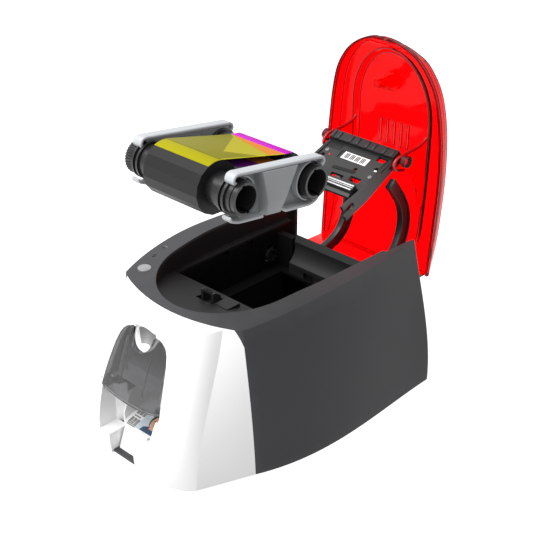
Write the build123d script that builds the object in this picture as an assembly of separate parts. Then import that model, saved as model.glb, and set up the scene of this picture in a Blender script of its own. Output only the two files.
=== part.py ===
"""Desktop ID card printer with its lid open and its ribbon cassette taken out.

Millimetres.  X is the printer's width, Y runs from the front to the back, Z is
up.  The origin lies on the table under the middle of the footprint.
"""
from build123d import *
import os
from math import atan2, cos, degrees, hypot, pi, radians, sin, sqrt, tan

# ---- card and film --------------------------------------------------------
card_length = 85.6
card_width = 54.0
card_thick = 0.76
film_width = 57.0

# ---- housing --------------------------------------------------------------
foot_high = 2.5
front_y = -140.0
rear_y = 138.0
seam_y = -77.0          # where the white front meets the dark body
base_half = 102.0       # widest half width, at the table
base_thick = 2.0
foot_r = 8.0
rim_half = 83.5         # widest half width, at the rim
shell_wall = 2.5
shell_gap = 0.3         # between neighbouring shells
rim_high = 141.0        # top of the rim's crown
rear_wall_top = 83.0
corner_round = 4.0
lobe_front = -93.0      # the grey rim reaches this far into the white front

# ---- arch opening and ramp ------------------------------------------------
arch_half = 68.0
arch_front = -85.0
collar_low = 119.0      # the collar wall under the rim ends on the bay ledge
ramp_edge_y = -28.0
ramp_edge_z = 119.5
ramp_top_z = 129.5
ramp_thick = 2.5

# ---- cassette bay ---------------------------------------------------------
bay_half = 60.0
bay_floor = 79.0
bay_wall = 2.0
beam_y = 97.0
beam_top = 115.0
beam_left = -40.0
hub_y, hub_z = 90.0, 93.0
hub_window = 8.5        # radius of the eight sided window
supply_seat = (14.0, 103.0)

# ---- lid ------------------------------------------------------------------
hinge_y, hinge_z = 126.0, 90.0
hinge_pin_r = 2.5
hinge_play = 0.08
lid_open = 92.0         # degrees from shut
lid_gap = 0.8
lid_wall = 2.6
lid_rear = 129.5
lid_lip = 4.0
skirt_low = 97.0
band_in, band_up = 0.14, 1.12       # the band's outer corner, as shares of its width and rise
boss_y = -41.0

# ---- print head -----------------------------------------------------------
head_y, head_z = 153.0, 200.0       # the carrier's pivot with the lid open
head_slope = 22.6                   # the carrier hangs this far below level
head_half = 37.5
head_reach = 50.0
fork_reach = 72.0
head_pin_r = 2.0
fork_slot = 3.6
arm_x = 33.0
arm_wide = 8.0
arm_thick = 6.0
ear_x = 40.0
ear_thick = 3.0

# ---- rollers --------------------------------------------------------------
platen_y, platen_z = 43.0, 51.0
roller_r = 7.0
roller_shaft_r = 3.0
roller_long = 60.0
shaft_play = 0.06
frame_half = 47.0
frame_thick = 2.0
frame_front, frame_rear = -78.0, 94.0

# ---- roller drive ---------------------------------------------------------
gear_module = 1.0
roller_teeth = 24
pinion_teeth = 12
gear_wide = 5.0
gear_backlash = 0.22
first_idler_angle = 188.0       # from the platen, degrees in the YZ plane
second_roller_angle = 172.0
feed_rise = 161.0               # direction of the last two gears
motor_r, motor_long = 14.0, 24.0
pinion_angle = -50.0

# ---- ribbon cassette, held above the printer ------------------------------
cassette_x = 51.7
cassette_y, cassette_z = -73.65, 266.15
cassette_tilt = 8.5
spool_pitch = 74.7
spool_long = 114.0
spool_r = 13.0
spool_bore = 10.3
core_r = 11.0
supply_roll_r = 20.5
takeup_roll_r = 15.0
film_gap = 0.3
film_thick = 0.3
plate_top = 18.5
plate_low = -20.0
plate_at = 44.0         # the side plates' web, from the cassette's middle
plate_web = 2.0
flange_wide = 12.0
collar_r = 14.6
spool_play = 0.35

# ---- front door and recess ------------------------------------------------
door_mid = -2.5         # the door's middle, a little left of the printer's
door_half = 35.0
door_low, door_high = 64.5, 119.5
door_dip = 3.0          # its lower edge hangs lower in the middle
door_proud = 2.0
door_axis_y, door_axis_z = -130.6, 67.1
door_pin_r = 1.5
door_thick = 1.8
door_gap = 0.6
ledge_z = 58.0          # the opening widens above this ledge
recess_left, recess_right = -38.0, 30.0
recess_foot = 22.5      # the right side leans in to here at the bottom
recess_low = 22.0
notch_left, notch_right = -25.0, 5.0
liner_thick = 1.8
liner_back = -121.5
tray_half = 28.4
tray_front, tray_low = -125.0, 23.4
tray_rear, tray_high = -64.0, 44.0
tray_toe = -132.5       # the tray's front face runs out to here at the bottom
scoop_r = 12.4
scoop_z = 118.0
bowl_deep = 11.0
bowl_back = -103.0
hopper_z = 74.0         # the blank cards lie on rails at this height
lip_sag = 3.0

# ---- controls -------------------------------------------------------------
button_x, button_y = -62.0, -63.0
button_z = 135.6
button_r = 6.4
button_travel = 1.0
button_play = 0.3
led_spots = ((-70.0, -44.5), (-74.0, -29.5))
led_r = 2.0
board_z = 119.0
catch_y = -41.0
catch_mid = -1.9        # middle of the catch, from side to side
catch_half = 8.5
tongue_half = 3.6
catch_travel = 3.0
catch_play = 0.3

# ---- sockets in the rear wall: x0, x1, z0, z1 -----------------------------
sockets = {"power_inlet": (52.0, 66.0, 18.0, 31.0), "usb_socket": (32.0, 44.0, 18.0, 29.0)}


# ---------------------------------------------------------------------------
# helpers
# ---------------------------------------------------------------------------
def block(x0, x1, y0, y1, z0, z1):
    """A box between two corners."""
    size = Box(abs(x1 - x0), abs(y1 - y0), abs(z1 - z0))
    return Pos((x0 + x1) / 2, (y0 + y1) / 2, (z0 + z1) / 2) * size


def rod_x(y, z, r, x0, x1):
    """A cylinder along X."""
    turned = Rot(0, 90, 0) * Cylinder(r, abs(x1 - x0))
    return Pos((x0 + x1) / 2, y, z) * turned


def tube_x(y, z, r, bore, x0, x1):
    """A tube along X."""
    return rod_x(y, z, r, x0, x1) - rod_x(y, z, bore, x0 - 1, x1 + 1)


def rod_z(x, y, r, z0, z1):
    """An upright cylinder."""
    return Pos(x, y, (z0 + z1) / 2) * Cylinder(r, z1 - z0)


def side_profile(points, x0, x1):
    """A (y, z) outline extruded along X from x0 to x1."""
    wire = Polyline([(x0, y, z) for y, z in points], close=True)
    return extrude(make_face(wire), amount=x1 - x0, dir=(1, 0, 0))


def mirrored(points):
    """Right half points (x, y), front to back, with the left half added."""
    return [(-x, y) for x, y in reversed(points) if x] + list(points)


def spline(points, z):
    """A smooth curve through (x, y) points at one height."""
    return Spline([(x, y, z) for x, y in points])


def rod_y(x, z, r, y0, y1):
    """A cylinder along Y."""
    return Pos(x, (y0 + y1) / 2, z) * Rot(90, 0, 0) * Cylinder(r, abs(y1 - y0))


def front_prism(points, y0, y1):
    """An (x, z) outline extruded along Y from y0 to y1."""
    wire = Polyline([(x, y0, z) for x, z in points], close=True)
    return extrude(make_face(wire), amount=y1 - y0, dir=(0, 1, 0))


def biggest(shape):
    """The largest solid of a shape."""
    return sorted(shape.solids(), key=lambda s: s.volume)[-1]


# ---------------------------------------------------------------------------
# housing form
# ---------------------------------------------------------------------------
def hull_station(z, front, shoulder, crease, seam, flank, rear, inset):
    """One level cut through the housing, moved inwards by inset."""
    s, c = shoulder, crease
    half_nose = [(s[0] / 2, (4 * front + s[1]) / 5 + inset), (s[0], s[1] + inset),
                 (c[0] - inset, c[1] + inset)]
    nose = [(-x, y) for x, y in reversed(half_nose)] + [(0, front + inset)] + half_nose
    back = rear_y - inset
    soft = corner_round
    side = [(seam - inset, seam_y), (flank[0] - inset, -27), (flank[1] - inset, 29),
            (flank[2] - inset, 90), (rear - inset, back - soft)]
    turn = soft * (1 - 1 / sqrt(2))
    edges = []
    for sign in (1, -1):
        edges.append(spline([(sign * x, y) for x, y in side], z))
        edges.append(Line((sign * nose[-1][0], nose[-1][1], z), (sign * side[0][0], side[0][1], z)))
        edges.append(ThreePointArc(
            (sign * side[-1][0], back - soft, z),
            (sign * (side[-1][0] - turn), back - turn, z),
            (sign * (side[-1][0] - soft), back, z)))
    edges.append(spline(nose, z))
    edges.append(Line((side[-1][0] - soft, back, z), (-side[-1][0] + soft, back, z)))
    return make_face(Wire(Curve() + edges).edges())


def top_height():
    """The rim's crown, front to back, as (y, z)."""
    return [(-150, 104), (-126, 118), (-113, 126.5), (-93, 132.5), (seam_y, 134.8), (-32, 139),
            (8, rim_high), (40, rim_high - 0.3), (90, 139), (150, 136)]


def under_crown(drop):
    """Everything below the crown surface lowered by drop."""
    crown = Spline([(-120, y, z - drop) for y, z in top_height()])
    low = -5
    first, last = crown @ 0, crown @ 1
    sides = Polyline([last, (-120, last.Y, low), (-120, first.Y, low), first])
    return extrude(make_face([crown, *sides.edges()]), amount=240, dir=(1, 0, 0))


def hull(inset=0.0, low=foot_high):
    """The whole housing form, moved inwards by inset, from height low."""
    b, r = base_half, rim_half
    levels = [
        (low, front_y, (45, front_y + 1.8), (64.5, -126), 84, (b - 3.5, b, b - 2.5), b - 4),
        (70, front_y + 5.3, (41.5, -131), (61.5, -108.5), 78.5, (92.5, 96, 93), 90.5),
        (112, front_y + 21, (37, -114.5), (57.8, -91.5), 73.3, (86.3, 89.3, 85.5), 80),
        (148, front_y + 38, (33, -99.5), (56.5, -83.5), 68.5, (r - 2.5, r, r - 6), r - 12),
    ]
    faces = [hull_station(*level, inset) for level in levels]
    return loft(faces) & under_crown(inset)


def arch_points(grow):
    """Right half of the lid opening, front to back."""
    a = arch_half + grow
    return [(0, arch_front - grow), (19, -82 - grow), (36 + grow / 2, -73 - grow), (49 + grow, -60),
            (59 + grow, -42), (a - 3.5, -14), (a - 0.3, 18), (a, 50), (a - 1, 90), (a - 2, 150)]


def arch_prism(grow, z0, z1, back=150.0):
    """The lid opening as a prism, grown sideways."""
    points = [(x, min(y, back)) for x, y in arch_points(grow)]
    curve = spline(mirrored(points), z0)
    shut = Line(curve @ 1, curve @ 0)
    return extrude(make_face([curve, shut]), amount=z1 - z0)


def lobe_prism(grow):
    """The rim's front lobe, seen from above, grown forwards."""
    half = 71.5 + grow
    arc = ThreePointArc((-half, seam_y - grow, 100), (0, lobe_front - grow, 100),
                        (half, seam_y - grow, 100))
    sides = Polyline([arc @ 1, (half, seam_y + 30, 100), (-half, seam_y + 30, 100), arc @ 0])
    return extrude(make_face([arc, *sides.edges()]), amount=80)


def door_sides(g, z0, z1):
    """Right side and top corner of the door's outline, grown by g."""
    points = [(door_half + g, door_low), (32.6 + g, 86), (30 + g, 102), (27.6 + g, 110),
              (24.5 + g, 115.2), (20 + g * 0.8, door_high - 1.2), (15, door_high + g)]
    return [(x, min(max(z, z0), z1)) for x, z in points]


def door_outline(grow, z0, z1=200.0, dip=0.0):
    """Front view of the door's outline, extruded through the front."""
    right = door_sides(grow, z0, z1)
    if z0 < door_low:
        right.insert(0, (door_half + grow, z0))
    points = right + [(-x, z) for x, z in reversed(right)]
    if dip:
        points += [(-door_half * k / 4, right[0][1] - dip * (1 - (k / 4) ** 2)) for k in (3, 2, 1, 0, -1, -2, -3)]
    return front_prism([(x + door_mid, z) for x, z in points], -160, -60)


def recess_outline(grow):
    """Front view of the card recess under the door, open at both ends."""
    g = grow
    return front_prism([(recess_left - g, ledge_z), (recess_left - g, recess_low - g),
                        (notch_left - g, recess_low - g), (notch_left - g, -2), (notch_right + g, -2),
                        (notch_right + g, recess_low - g), (recess_foot + g, recess_low - g),
                        (recess_right + g, ledge_z)], -160, liner_back)


# ---------------------------------------------------------------------------
# lid positions: the lid is drawn shut, then swung open about its hinge
# ---------------------------------------------------------------------------
def swing_open(shape):
    """Turn a shape from the shut lid's place to the open one."""
    return Pos(0, hinge_y, hinge_z) * Rot(-lid_open, 0, 0) * Pos(0, -hinge_y, -hinge_z) * shape


def open_point(y, z):
    """Where a (y, z) point of the shut lid is when the lid is open."""
    a = radians(-lid_open)
    dy, dz = y - hinge_y, z - hinge_z
    return hinge_y + dy * cos(a) - dz * sin(a), hinge_z + dy * sin(a) + dz * cos(a)


def crown_at(y):
    """Height of the rim's crown at y, between the given points."""
    points = top_height()
    for (y0, z0), (y1, z1) in zip(points, points[1:]):
        if y <= y1:
            return z0 + (z1 - z0) * (y - y0) / (y1 - y0)
    return points[-1][1]


def arch_half_at(y):
    """Half width of the lid opening at y."""
    points = arch_points(0)
    for (x0, y0), (x1, y1) in zip(points, points[1:]):
        if y <= y1:
            return x0 + (x1 - x0) * (y - y0) / (y1 - y0)
    return points[-1][0]


# ---------------------------------------------------------------------------
# housing pieces
# ---------------------------------------------------------------------------
def make_shells():
    """The white front shell and the dark body shell, cut from one wall."""
    form, cavity = hull(), hull(shell_wall, -1)
    wall = form - cavity
    lobe = lobe_prism(0)
    half_gap = shell_gap / 2
    ahead = block(-200, 200, -200, seam_y - half_gap, -10, 200)
    behind = block(-200, 200, seam_y + half_gap, 200, -10, 200)
    front = (wall & ahead) - lobe_prism(shell_gap)
    front += make_liner() & hull(0.5)
    front -= door_outline(door_gap, ledge_z) + recess_outline(0)
    front -= rod_y(door_mid, scoop_z, scoop_r + 0.4, -160, -60)
    for side in (-1, 1):
        x0, x1 = sorted(door_mid + side * x for x in (door_half + door_gap + 0.2, door_half + 4.5))
        front += rod_x(door_axis_y, door_axis_z, 3.2, x0, x1) & form
        front -= rod_x(door_axis_y, door_axis_z, door_pin_r + shaft_play, x0 - 1, x1 + 1 - (side > 0) * 2)
    body = (wall & behind) + (wall & lobe)
    body -= arch_prism(0, 100, 170)
    opening = arch_half + 1.5
    body -= block(-opening, opening, 100, 160, rear_wall_top, 170)
    body -= rod_z(button_x, button_y, button_r, 120, 150)
    for x, y in led_spots:
        body -= rod_z(x, y, led_r, 120, 150)
    for x0, x1, z0, z1 in sockets.values():
        body -= block(x0, x1, 120, 150, z0, z1)
    for k in range(7):
        x = -78 + 6 * k
        body -= block(x, x + 3, 120, 150, 40, 68)
    return front, body, cavity


def make_liner():
    """The walls, block tops and ledges that line the recess, before its opening is cut."""
    t = liner_thick
    low = foot_high + base_thick + shell_gap
    liner = recess_outline(t) & block(-60, 60, -160, liner_back, low, ledge_z)
    left, right = door_mid - door_half - 4.5, door_mid + door_half + 4.5
    liner += block(left, right, -160, liner_back, ledge_z - t, ledge_z)
    corner = Polyline([(recess_left - t, liner_back - 2, ledge_z), (recess_left, liner_back - 2, ledge_z),
                       (-30.6, -114, ledge_z), (-32.4, -114, ledge_z)], close=True)
    liner += extrude(make_face(corner), amount=recess_low - t - ledge_z)
    return liner - block(-card_width / 2 - 0.6, card_width / 2 + 0.6, tray_front - 0.3, 0, recess_low + 0.05, ledge_z)


def make_base(cavity):
    """The bottom plate, inside the shells."""
    plate = cavity & block(-200, 200, -200, 200, foot_high, foot_high + base_thick)
    for k in range(6):
        plate -= block(-20 + 8 * k, -16 + 8 * k, -60, -20, 0, 10)
    return plate


def make_foot(x, y):
    """A round rubber foot."""
    return rod_z(x, y, foot_r, 0, foot_high)


def make_rear_foot():
    """The long rubber strip under the back."""
    strip = block(-82, 82, 108, 122, 0, foot_high)
    for x in (-70, 70):
        strip -= block(x - 4, x + 4, 113, 117, -1, 1.2)
    return strip


def make_collar(cavity):
    """Collar wall, ledge and latch ramp around the bay, in one moulding."""
    skin = 1.5
    ring = arch_prism(skin, collar_low - 2, 150) - arch_prism(0, collar_low, 151)
    opening = block(-bay_half, bay_half, ramp_edge_y, 160, 100, 160)
    ring = (ring - opening) & cavity & block(-90, 90, -120, 119, 100, 160)
    slope = (ramp_top_z - ramp_edge_z) / (ramp_edge_y - arch_front)
    front_y0 = arch_front - skin
    high = ramp_edge_z + slope * (ramp_edge_y - front_y0)
    ramp = side_profile([(front_y0, high), (ramp_edge_y, ramp_edge_z),
                         (ramp_edge_y, ramp_edge_z - ramp_thick),
                         (front_y0, high - ramp_thick)], -90, 90)
    ramp &= arch_prism(skin / 2, 100, 150)
    pad = block(9, 24, catch_y - 8, catch_y + 7, 118, ramp_edge_z + 4.2)
    solid = ring + ramp + pad
    window = block(catch_mid - catch_half - 1, catch_mid + catch_half + 1, catch_y - 7.5 - catch_travel, catch_y + 6.5, 100, 150)
    return biggest((solid - window) + catch_guide())


def make_tub():
    """The cassette bay: side walls, floor ledges and front wall."""
    low, top = bay_floor - bay_wall, collar_low - 2
    out = bay_half + bay_wall
    tub = block(-out, out, ramp_edge_y - bay_wall, 134, low, bay_floor)
    tub -= block(-frame_half, frame_half, -8, 92, 0, 200)
    tub += block(-bay_half, bay_half, ramp_edge_y - bay_wall, ramp_edge_y, bay_floor, top)
    for side in (-1, 1):
        x0, x1 = sorted((side * bay_half, side * out))
        tub += block(x0, x1, ramp_edge_y - bay_wall, 119, bay_floor, top)
        for y in (-6, 14, 34, 54, 72):
            rib = sorted((side * bay_half, side * (bay_half - 1.2)))
            tub += block(rib[0], rib[1], y, y + 1.6, bay_floor, top - 6)
    window = Pos(-bay_half, hub_y, hub_z) * Rot(0, 90, 0) * extrude(
        RegularPolygon(hub_window, 8), amount=6, both=True)
    tub -= window
    for y in (30, 60):
        tub -= block(-out - 1, -bay_half + 1, y, y + 7, top - 4, top + 1)
    post = block(-bay_half, beam_left - 1, 100, 107, bay_floor, 112)
    return tub + post


def make_beam():
    """The cross beam behind the bay, with its hollow front face."""
    top, low = beam_top, bay_floor
    arc = ThreePointArc((beam_left, 102, 109), (beam_left, 101.3, 97), (beam_left, 95, 89.5))
    rest = Polyline([arc @ 1, (beam_left, 95, low), (beam_left, 107, low),
                     (beam_left, 107, top - 3), (beam_left, 105.5, top), arc @ 0])
    beam = extrude(make_face([arc, *rest.edges()]), amount=bay_half - beam_left, dir=(1, 0, 0))
    for x in (-22, 18):
        beam -= block(x, x + 12, 94, 98, low - 1, low + 6)
    return beam


def make_side_frame(side, holes):
    """A pressed side plate that carries the roller shafts."""
    inner = side * frame_half
    x0, x1 = sorted((inner, inner + side * frame_thick))
    base = foot_high + base_thick
    plate = side_profile([(frame_front, base), (frame_rear, base), (frame_rear, bay_floor - bay_wall),
                          (ramp_edge_y - bay_wall, bay_floor - bay_wall), (frame_front, 74)], x0, x1)
    foot = sorted((inner + side * frame_thick, inner + side * 7))
    plate += block(foot[0], foot[1], frame_front + 10, frame_rear - 20, base, base + frame_thick)
    for y, z in holes:
        plate -= rod_x(y, z, roller_shaft_r + shaft_play, -80, 80)
    for y in (-58, -20, 70):
        plate -= rod_x(y, 24, 9, -80, 80)
    return plate


# ---------------------------------------------------------------------------
# roller drive
# ---------------------------------------------------------------------------
def gear(teeth, width, bore, phase):
    """A spur gear about X with straight sided teeth; phase in degrees."""
    r = gear_module * teeth / 2
    step = 360 / teeth
    trim = degrees(gear_backlash / 2 / r)
    root, tip = r - 1.2 * gear_module, r + 0.85 * gear_module
    wide, thin = step * 0.37 - trim, step * 0.11 - trim / 2
    points = []
    for k in range(teeth):
        at = phase + k * step
        for radius, offset in ((root, -wide), (tip, -thin), (tip, thin), (root, wide)):
            a = radians(at + offset)
            points.append((0, radius * cos(a), radius * sin(a)))
    wheel = extrude(make_face(Polyline(points, close=True)), amount=width, dir=(1, 0, 0))
    return wheel - rod_x(0, 0, bore, -1, width + 1)


def drive_train():
    """Centres and phases of the meshing gears, starting at the platen."""
    pitch = gear_module * roller_teeth
    step = 360 / roller_teeth
    train = {"platen": (platen_y, platen_z, first_idler_angle)}
    at = (platen_y, platen_z)
    for name, angle in (("idler", first_idler_angle), ("transport", second_roller_angle),
                        ("feed_idler", feed_rise), ("feed", feed_rise)):
        phase = train[list(train)[-1]][2]
        at = (at[0] + pitch * cos(radians(angle)), at[1] + pitch * sin(radians(angle)))
        # a tooth of the last gear points along angle; this gear shows it a gap
        slip = (angle - phase) % step
        train[name] = (at[0], at[1], angle + 180 + step / 2 + slip)
    return train


def pinion_place():
    """Centre and phase of the motor pinion, below the platen gear."""
    reach = gear_module * (roller_teeth + pinion_teeth) / 2
    phase = drive_train()["platen"][2]
    slip = (pinion_angle - phase) % (360 / roller_teeth)
    turn = slip * roller_teeth / pinion_teeth
    y = platen_y + reach * cos(radians(pinion_angle))
    z = platen_z + reach * sin(radians(pinion_angle))
    return y, z, pinion_angle + 180 + 180 / pinion_teeth + turn


def make_roller(y, z, long=roller_long, grooves=0):
    """A rubber roller tube on its shaft's bore."""
    roller = tube_x(y, z, roller_r, roller_shaft_r, -long / 2, long / 2)
    for k in range(grooves):
        x = -long / 2 + (k + 1) * long / (grooves + 1)
        roller -= tube_x(y, z, roller_r + 1, roller_r - 1, x - 1.5, x + 1.5)
    return roller


def make_shaft(y, z):
    """A steel roller shaft, from the left frame to the gear."""
    reach = frame_half + frame_thick
    return rod_x(y, z, roller_shaft_r, -reach - 2, reach + 1 + gear_wide)


def gear_x():
    """Where the gears start, just outside the right frame."""
    return frame_half + frame_thick + 0.8


def place_gear(y, z, teeth, bore, phase):
    """A gear in the plane of the drive train."""
    return Pos(gear_x(), y, z) * gear(teeth, gear_wide, bore, phase)


# ---------------------------------------------------------------------------
# lid
# ---------------------------------------------------------------------------
def lid_sections():
    """(y, half width, rib half width, panel half width, rib rise, panel rise)."""
    rows = [(-84.2, 7, 5, 3, 0.2, 0.4), (-80, None, 8, 5, 2.4, 2.8), (-73.5, None, 11, 7, 6.4, 7.2),
            (-67, None, 21, 17, 8, 11.5), (-58, None, 31, 27, 8.2, 12), (-44, None, 39, 35, 8.4, 12.4),
            (-24, None, 43.6, 39.6, 8.6, 13), (4, None, 45.6, 41.6, 8.8, 13.5),
            (40, None, 46, 42, 8.8, 13.5), (84, None, 46, 42, 8.4, 12.5), (110, None, 46, 42, 6.5, 9.5),
            (lid_rear, None, 46, 42, 3.0, 4.5)]
    for y, half, rib, panel, rise, peak in rows:
        yield y, half or arch_half_at(y) - lid_gap, rib, panel, rise, peak


def lid_form(inset, drop):
    """The lid's outer form, moved inwards by inset and down by drop."""
    faces = []
    for y, half, rib, panel, rise, peak in lid_sections():
        e = crown_at(y) - 0.2 - drop
        band = half - (half - rib) * band_in
        top = [(half - inset, e), (band - inset, e + rise * band_up), (rib - inset / 2, e + rise),
               (panel - inset / 2, e + peak)]
        foot = e - lid_lip + (0 if inset == 0 else -6)
        points = [(-half + inset, foot)] + [(-x, z) for x, z in top]
        points += [(x, z) for x, z in reversed(top)] + [(half - inset, foot)]
        y_at = y + (inset if y < -83 else 0)
        faces.append(make_face(Polyline([(x, y_at, z) for x, z in points], close=True)))
    return loft(faces, ruled=True)


def make_lid():
    """The red lid: sloped band, raised panel, rear skirt and hinge knuckles."""
    shell = lid_form(0, 0) - lid_form(lid_wall, lid_wall)
    half = arch_half_at(lid_rear) - lid_gap - 3
    skirt = block(-half, half, lid_rear - lid_wall, lid_rear, skirt_low, crown_at(lid_rear) - 1)
    skirt += block(-46, 46, lid_rear - lid_wall, lid_rear, skirt_low, crown_at(lid_rear) + 2)
    shell += skirt
    for side in (-1, 1):
        x0, x1 = sorted((side * 50, side * 58))
        knuckle = rod_x(hinge_y, hinge_z, 6, x0, x1)
        knuckle += block(x0, x1, hinge_y - 2, lid_rear, hinge_z, skirt_low + 6)
        shell += knuckle
        shell -= rod_x(hinge_y, hinge_z, hinge_pin_r + hinge_play, x0 - 1, x1 + 1)
    for k in range(5):
        x = -16.5 + 8 * k
        shell -= block(x, x + 3.4, 2, 32, 140, 170)
    return shell


def make_tongue(shell):
    """The latch tongue on its round boss under the lid."""
    post = rod_z(0, boss_y, 9, 143, 170) + rod_z(0, boss_y, 5.5, 134, 170)
    x0, x1 = catch_mid - tongue_half, catch_mid + tongue_half
    blade = block(x0, x1, boss_y - 3, boss_y + 2, 125, 146)
    hook = side_profile([(boss_y - 3, 128.2), (boss_y - 4.6, 126.6), (boss_y - 4.6, 125.6),
                         (boss_y - 3, 125)], x0, x1)
    return below_lid(post + blade + hook, shell)


def below_lid(shape, shell):
    """The part of a shape under the shut lid, up to the lid's inner face."""
    return lowest(shape - shell)


def lowest(shape):
    """The lowest solid of a shape."""
    return sorted(shape.solids(), key=lambda s: s.bounding_box().min.Z)[0]


def make_arm(side, shell):
    """A curved arm from the hinge pin up under the lid."""
    outline = [(118.5, 88), (113, 104), (111.3, 117.5), (107.5, 121.2), (78, 123.6), (58, 129),
               (58, 170), (102, 170), (124, 136), (126.2, 112), (131.5, 93.5)]
    x0, x1 = sorted((side * (arm_x - arm_wide / 2), side * (arm_x + arm_wide / 2)))
    arm = side_profile(outline, x0, x1) + rod_x(hinge_y, hinge_z, 6, x0, x1)
    arm -= rod_x(hinge_y, hinge_z, hinge_pin_r + hinge_play, -90, 90)
    return below_lid(arm, shell)


def make_ear(side, lid_open_shell):
    """A red ear under the open lid that carries the head carrier's pin."""
    x0, x1 = sorted((side * ear_x, side * (ear_x + ear_thick)))
    outline = [(200, 222), (180, 214), (head_y - 3, head_z + 7), (head_y - 9, head_z + 2),
               (head_y - 9, head_z - 5), (head_y - 2, head_z - 8), (176, 176), (180, 146), (200, 140)]
    ear = side_profile(outline, x0, x1)
    ear -= rod_x(head_y, head_z, head_pin_r + shaft_play, -90, 90)
    return sorted((ear - lid_open_shell).solids(), key=lambda s: s.center().Y)[0]


# ---------------------------------------------------------------------------
# print head, in its own frame: pivot on the origin, fork towards -Y
# ---------------------------------------------------------------------------
def place_head(shape):
    """Put a shape of the head's own frame on the open lid."""
    return Pos(0, head_y, head_z) * Rot(head_slope, 0, 0) * shape


def slot_in_head():
    """The platen shaft's place in the head's own frame, lid shut."""
    y, z = open_point(platen_y, platen_z)
    dy, dz = y - head_y, z - head_z
    a = radians(-head_slope)
    return dy * cos(a) - dz * sin(a), dy * sin(a) + dz * cos(a)


def make_carrier():
    """The moulded carrier: plate, pivot barrel, side cheeks and forks."""
    slot_y, slot_z = slot_in_head()
    plate = block(-head_half, head_half, -head_reach, 2, 0, 3)
    plate += rod_x(0, 0, 5, -head_half, head_half)
    plate += rod_x(0, 0, head_pin_r, -ear_x - ear_thick, ear_x + ear_thick)
    plate += block(-head_half, head_half, -6, 4, 3, 6.5)
    for side in (-1, 1):
        x0, x1 = sorted((side * (head_half - 3), side * head_half))
        plate += side_profile([(0, 3), (-head_reach - 6, 6), (-fork_reach - 6, slot_z + 8),
                               (-fork_reach - 6, slot_z - 8), (-head_reach, -9), (0, -5)], x0, x1)
        plate -= block(x0 - 1, x1 + 1, -fork_reach - 10, slot_y, slot_z - fork_slot, slot_z + fork_slot)
        plate -= rod_x(slot_y, slot_z, fork_slot, x0 - 1, x1 + 1)
    plate += block(-head_half, head_half, -head_reach, -head_reach + 3, -6, 3)
    for x0, x1, y0, y1 in ((-34, -19, -12, -7), (22, 33, -13, -7), (-6, 8, -45, -41), (14, 26, -44, -38),
                           (-32, -24, -44, -36)):
        plate -= block(x0, x1, y0, y1, -1, 10)
    for x, y in ((30, -22), (-30, -26), (12, -30)):
        plate -= rod_z(x, y, 2.2, -1, 10)
    plate -= block(-15.5, 15.5, -23.5, -14, 2.5, 4)
    return plate


def make_head_bar():
    """The thermal head: alloy rail with two bright strips and the ceramic edge."""
    slot_y, slot_z = slot_in_head()
    end = slot_y + roller_r + 0.6
    bar = block(-30, 30, end + 3, -head_reach, -5, 6.5)
    bar += block(-30, 30, end + 3, end + 5.2, 6.5, 7.6) + block(-30, 30, -head_reach - 3.2, -head_reach, 6.5, 7.6)
    nose = side_profile([(end + 3, 3), (end, slot_z + 1), (end, slot_z - 1), (end + 3, -3)], -28, 28)
    return bar + nose


def make_label():
    """The label plate on the carrier."""
    return block(-15, 15, -23, -14.5, 2.5, 2.9)


# ---------------------------------------------------------------------------
# front door, hopper and tray
# ---------------------------------------------------------------------------
def make_door():
    """The clear feeder door with its thumb scoop, ribs and pin stubs."""
    outer, inner = hull(-door_proud), hull(door_thick - door_proud)
    door = (outer - inner) & door_outline(0, door_low, dip=door_dip)
    bead = hull(-door_proud - 0.7) - inner
    door += bead & (rod_y(door_mid, scoop_z, scoop_r + 2, -160, -60)) & door_outline(0, door_low)
    door -= rod_y(door_mid, scoop_z, scoop_r + 0.6, -160, -60)
    door -= block(door_mid - scoop_r - 0.6, door_mid + scoop_r + 0.6, -160, -60, scoop_z, 140)
    for x in (-14, 14):
        rib = block(door_mid + x - 0.6, door_mid + x + 0.6, -160, -90, door_low + 8, 103)
        door += rib & (inner - hull(door_thick - door_proud + 1.2))
    for side in (-1, 1):
        x0, x1, x2 = (door_mid + side * (door_half + x) for x in (-4.0, -0.4, 3.0))
        door += rod_x(door_axis_y, door_axis_z, 2.4, x0, x1) & outer
        door += block(x0, x1, -150, door_axis_y, door_axis_z - 1.6, door_axis_z + 1.6) & outer
        door += rod_x(door_axis_y, door_axis_z, door_pin_r, x0, x2)
    return door


def thumb_bowl():
    """The white dish behind the door's scoop, with its low front lip."""
    cup = rod_y(door_mid, scoop_z, scoop_r + 2, -160, -60)
    face_y = front_y + 21.5
    dish = Pos(door_mid, face_y, scoop_z) * Sphere(scoop_r)
    bowl = (hull(shell_wall + 0.4, -1) & cup) - hull(shell_wall + bowl_deep, -1) - dish
    bowl &= block(-60, 60, -160, bowl_back, 0, 200)
    skin = hull(0.6) - hull(2.4, -1)
    lip_r = (scoop_r ** 2 + lip_sag ** 2) / (2 * lip_sag)
    lip = skin & rod_y(door_mid, scoop_z, scoop_r - 0.1, -160, -60)
    lip -= rod_y(door_mid, scoop_z - lip_sag + lip_r, lip_r, -161, -59)
    link = (hull(2.2, -1) - hull(shell_wall + 1, -1)) & rod_y(door_mid, scoop_z, scoop_r - 0.1, -160, -60)
    link -= block(-60, 60, -160, -60, scoop_z - scoop_r + 2.5, 150)
    return bowl + lip + link


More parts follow.
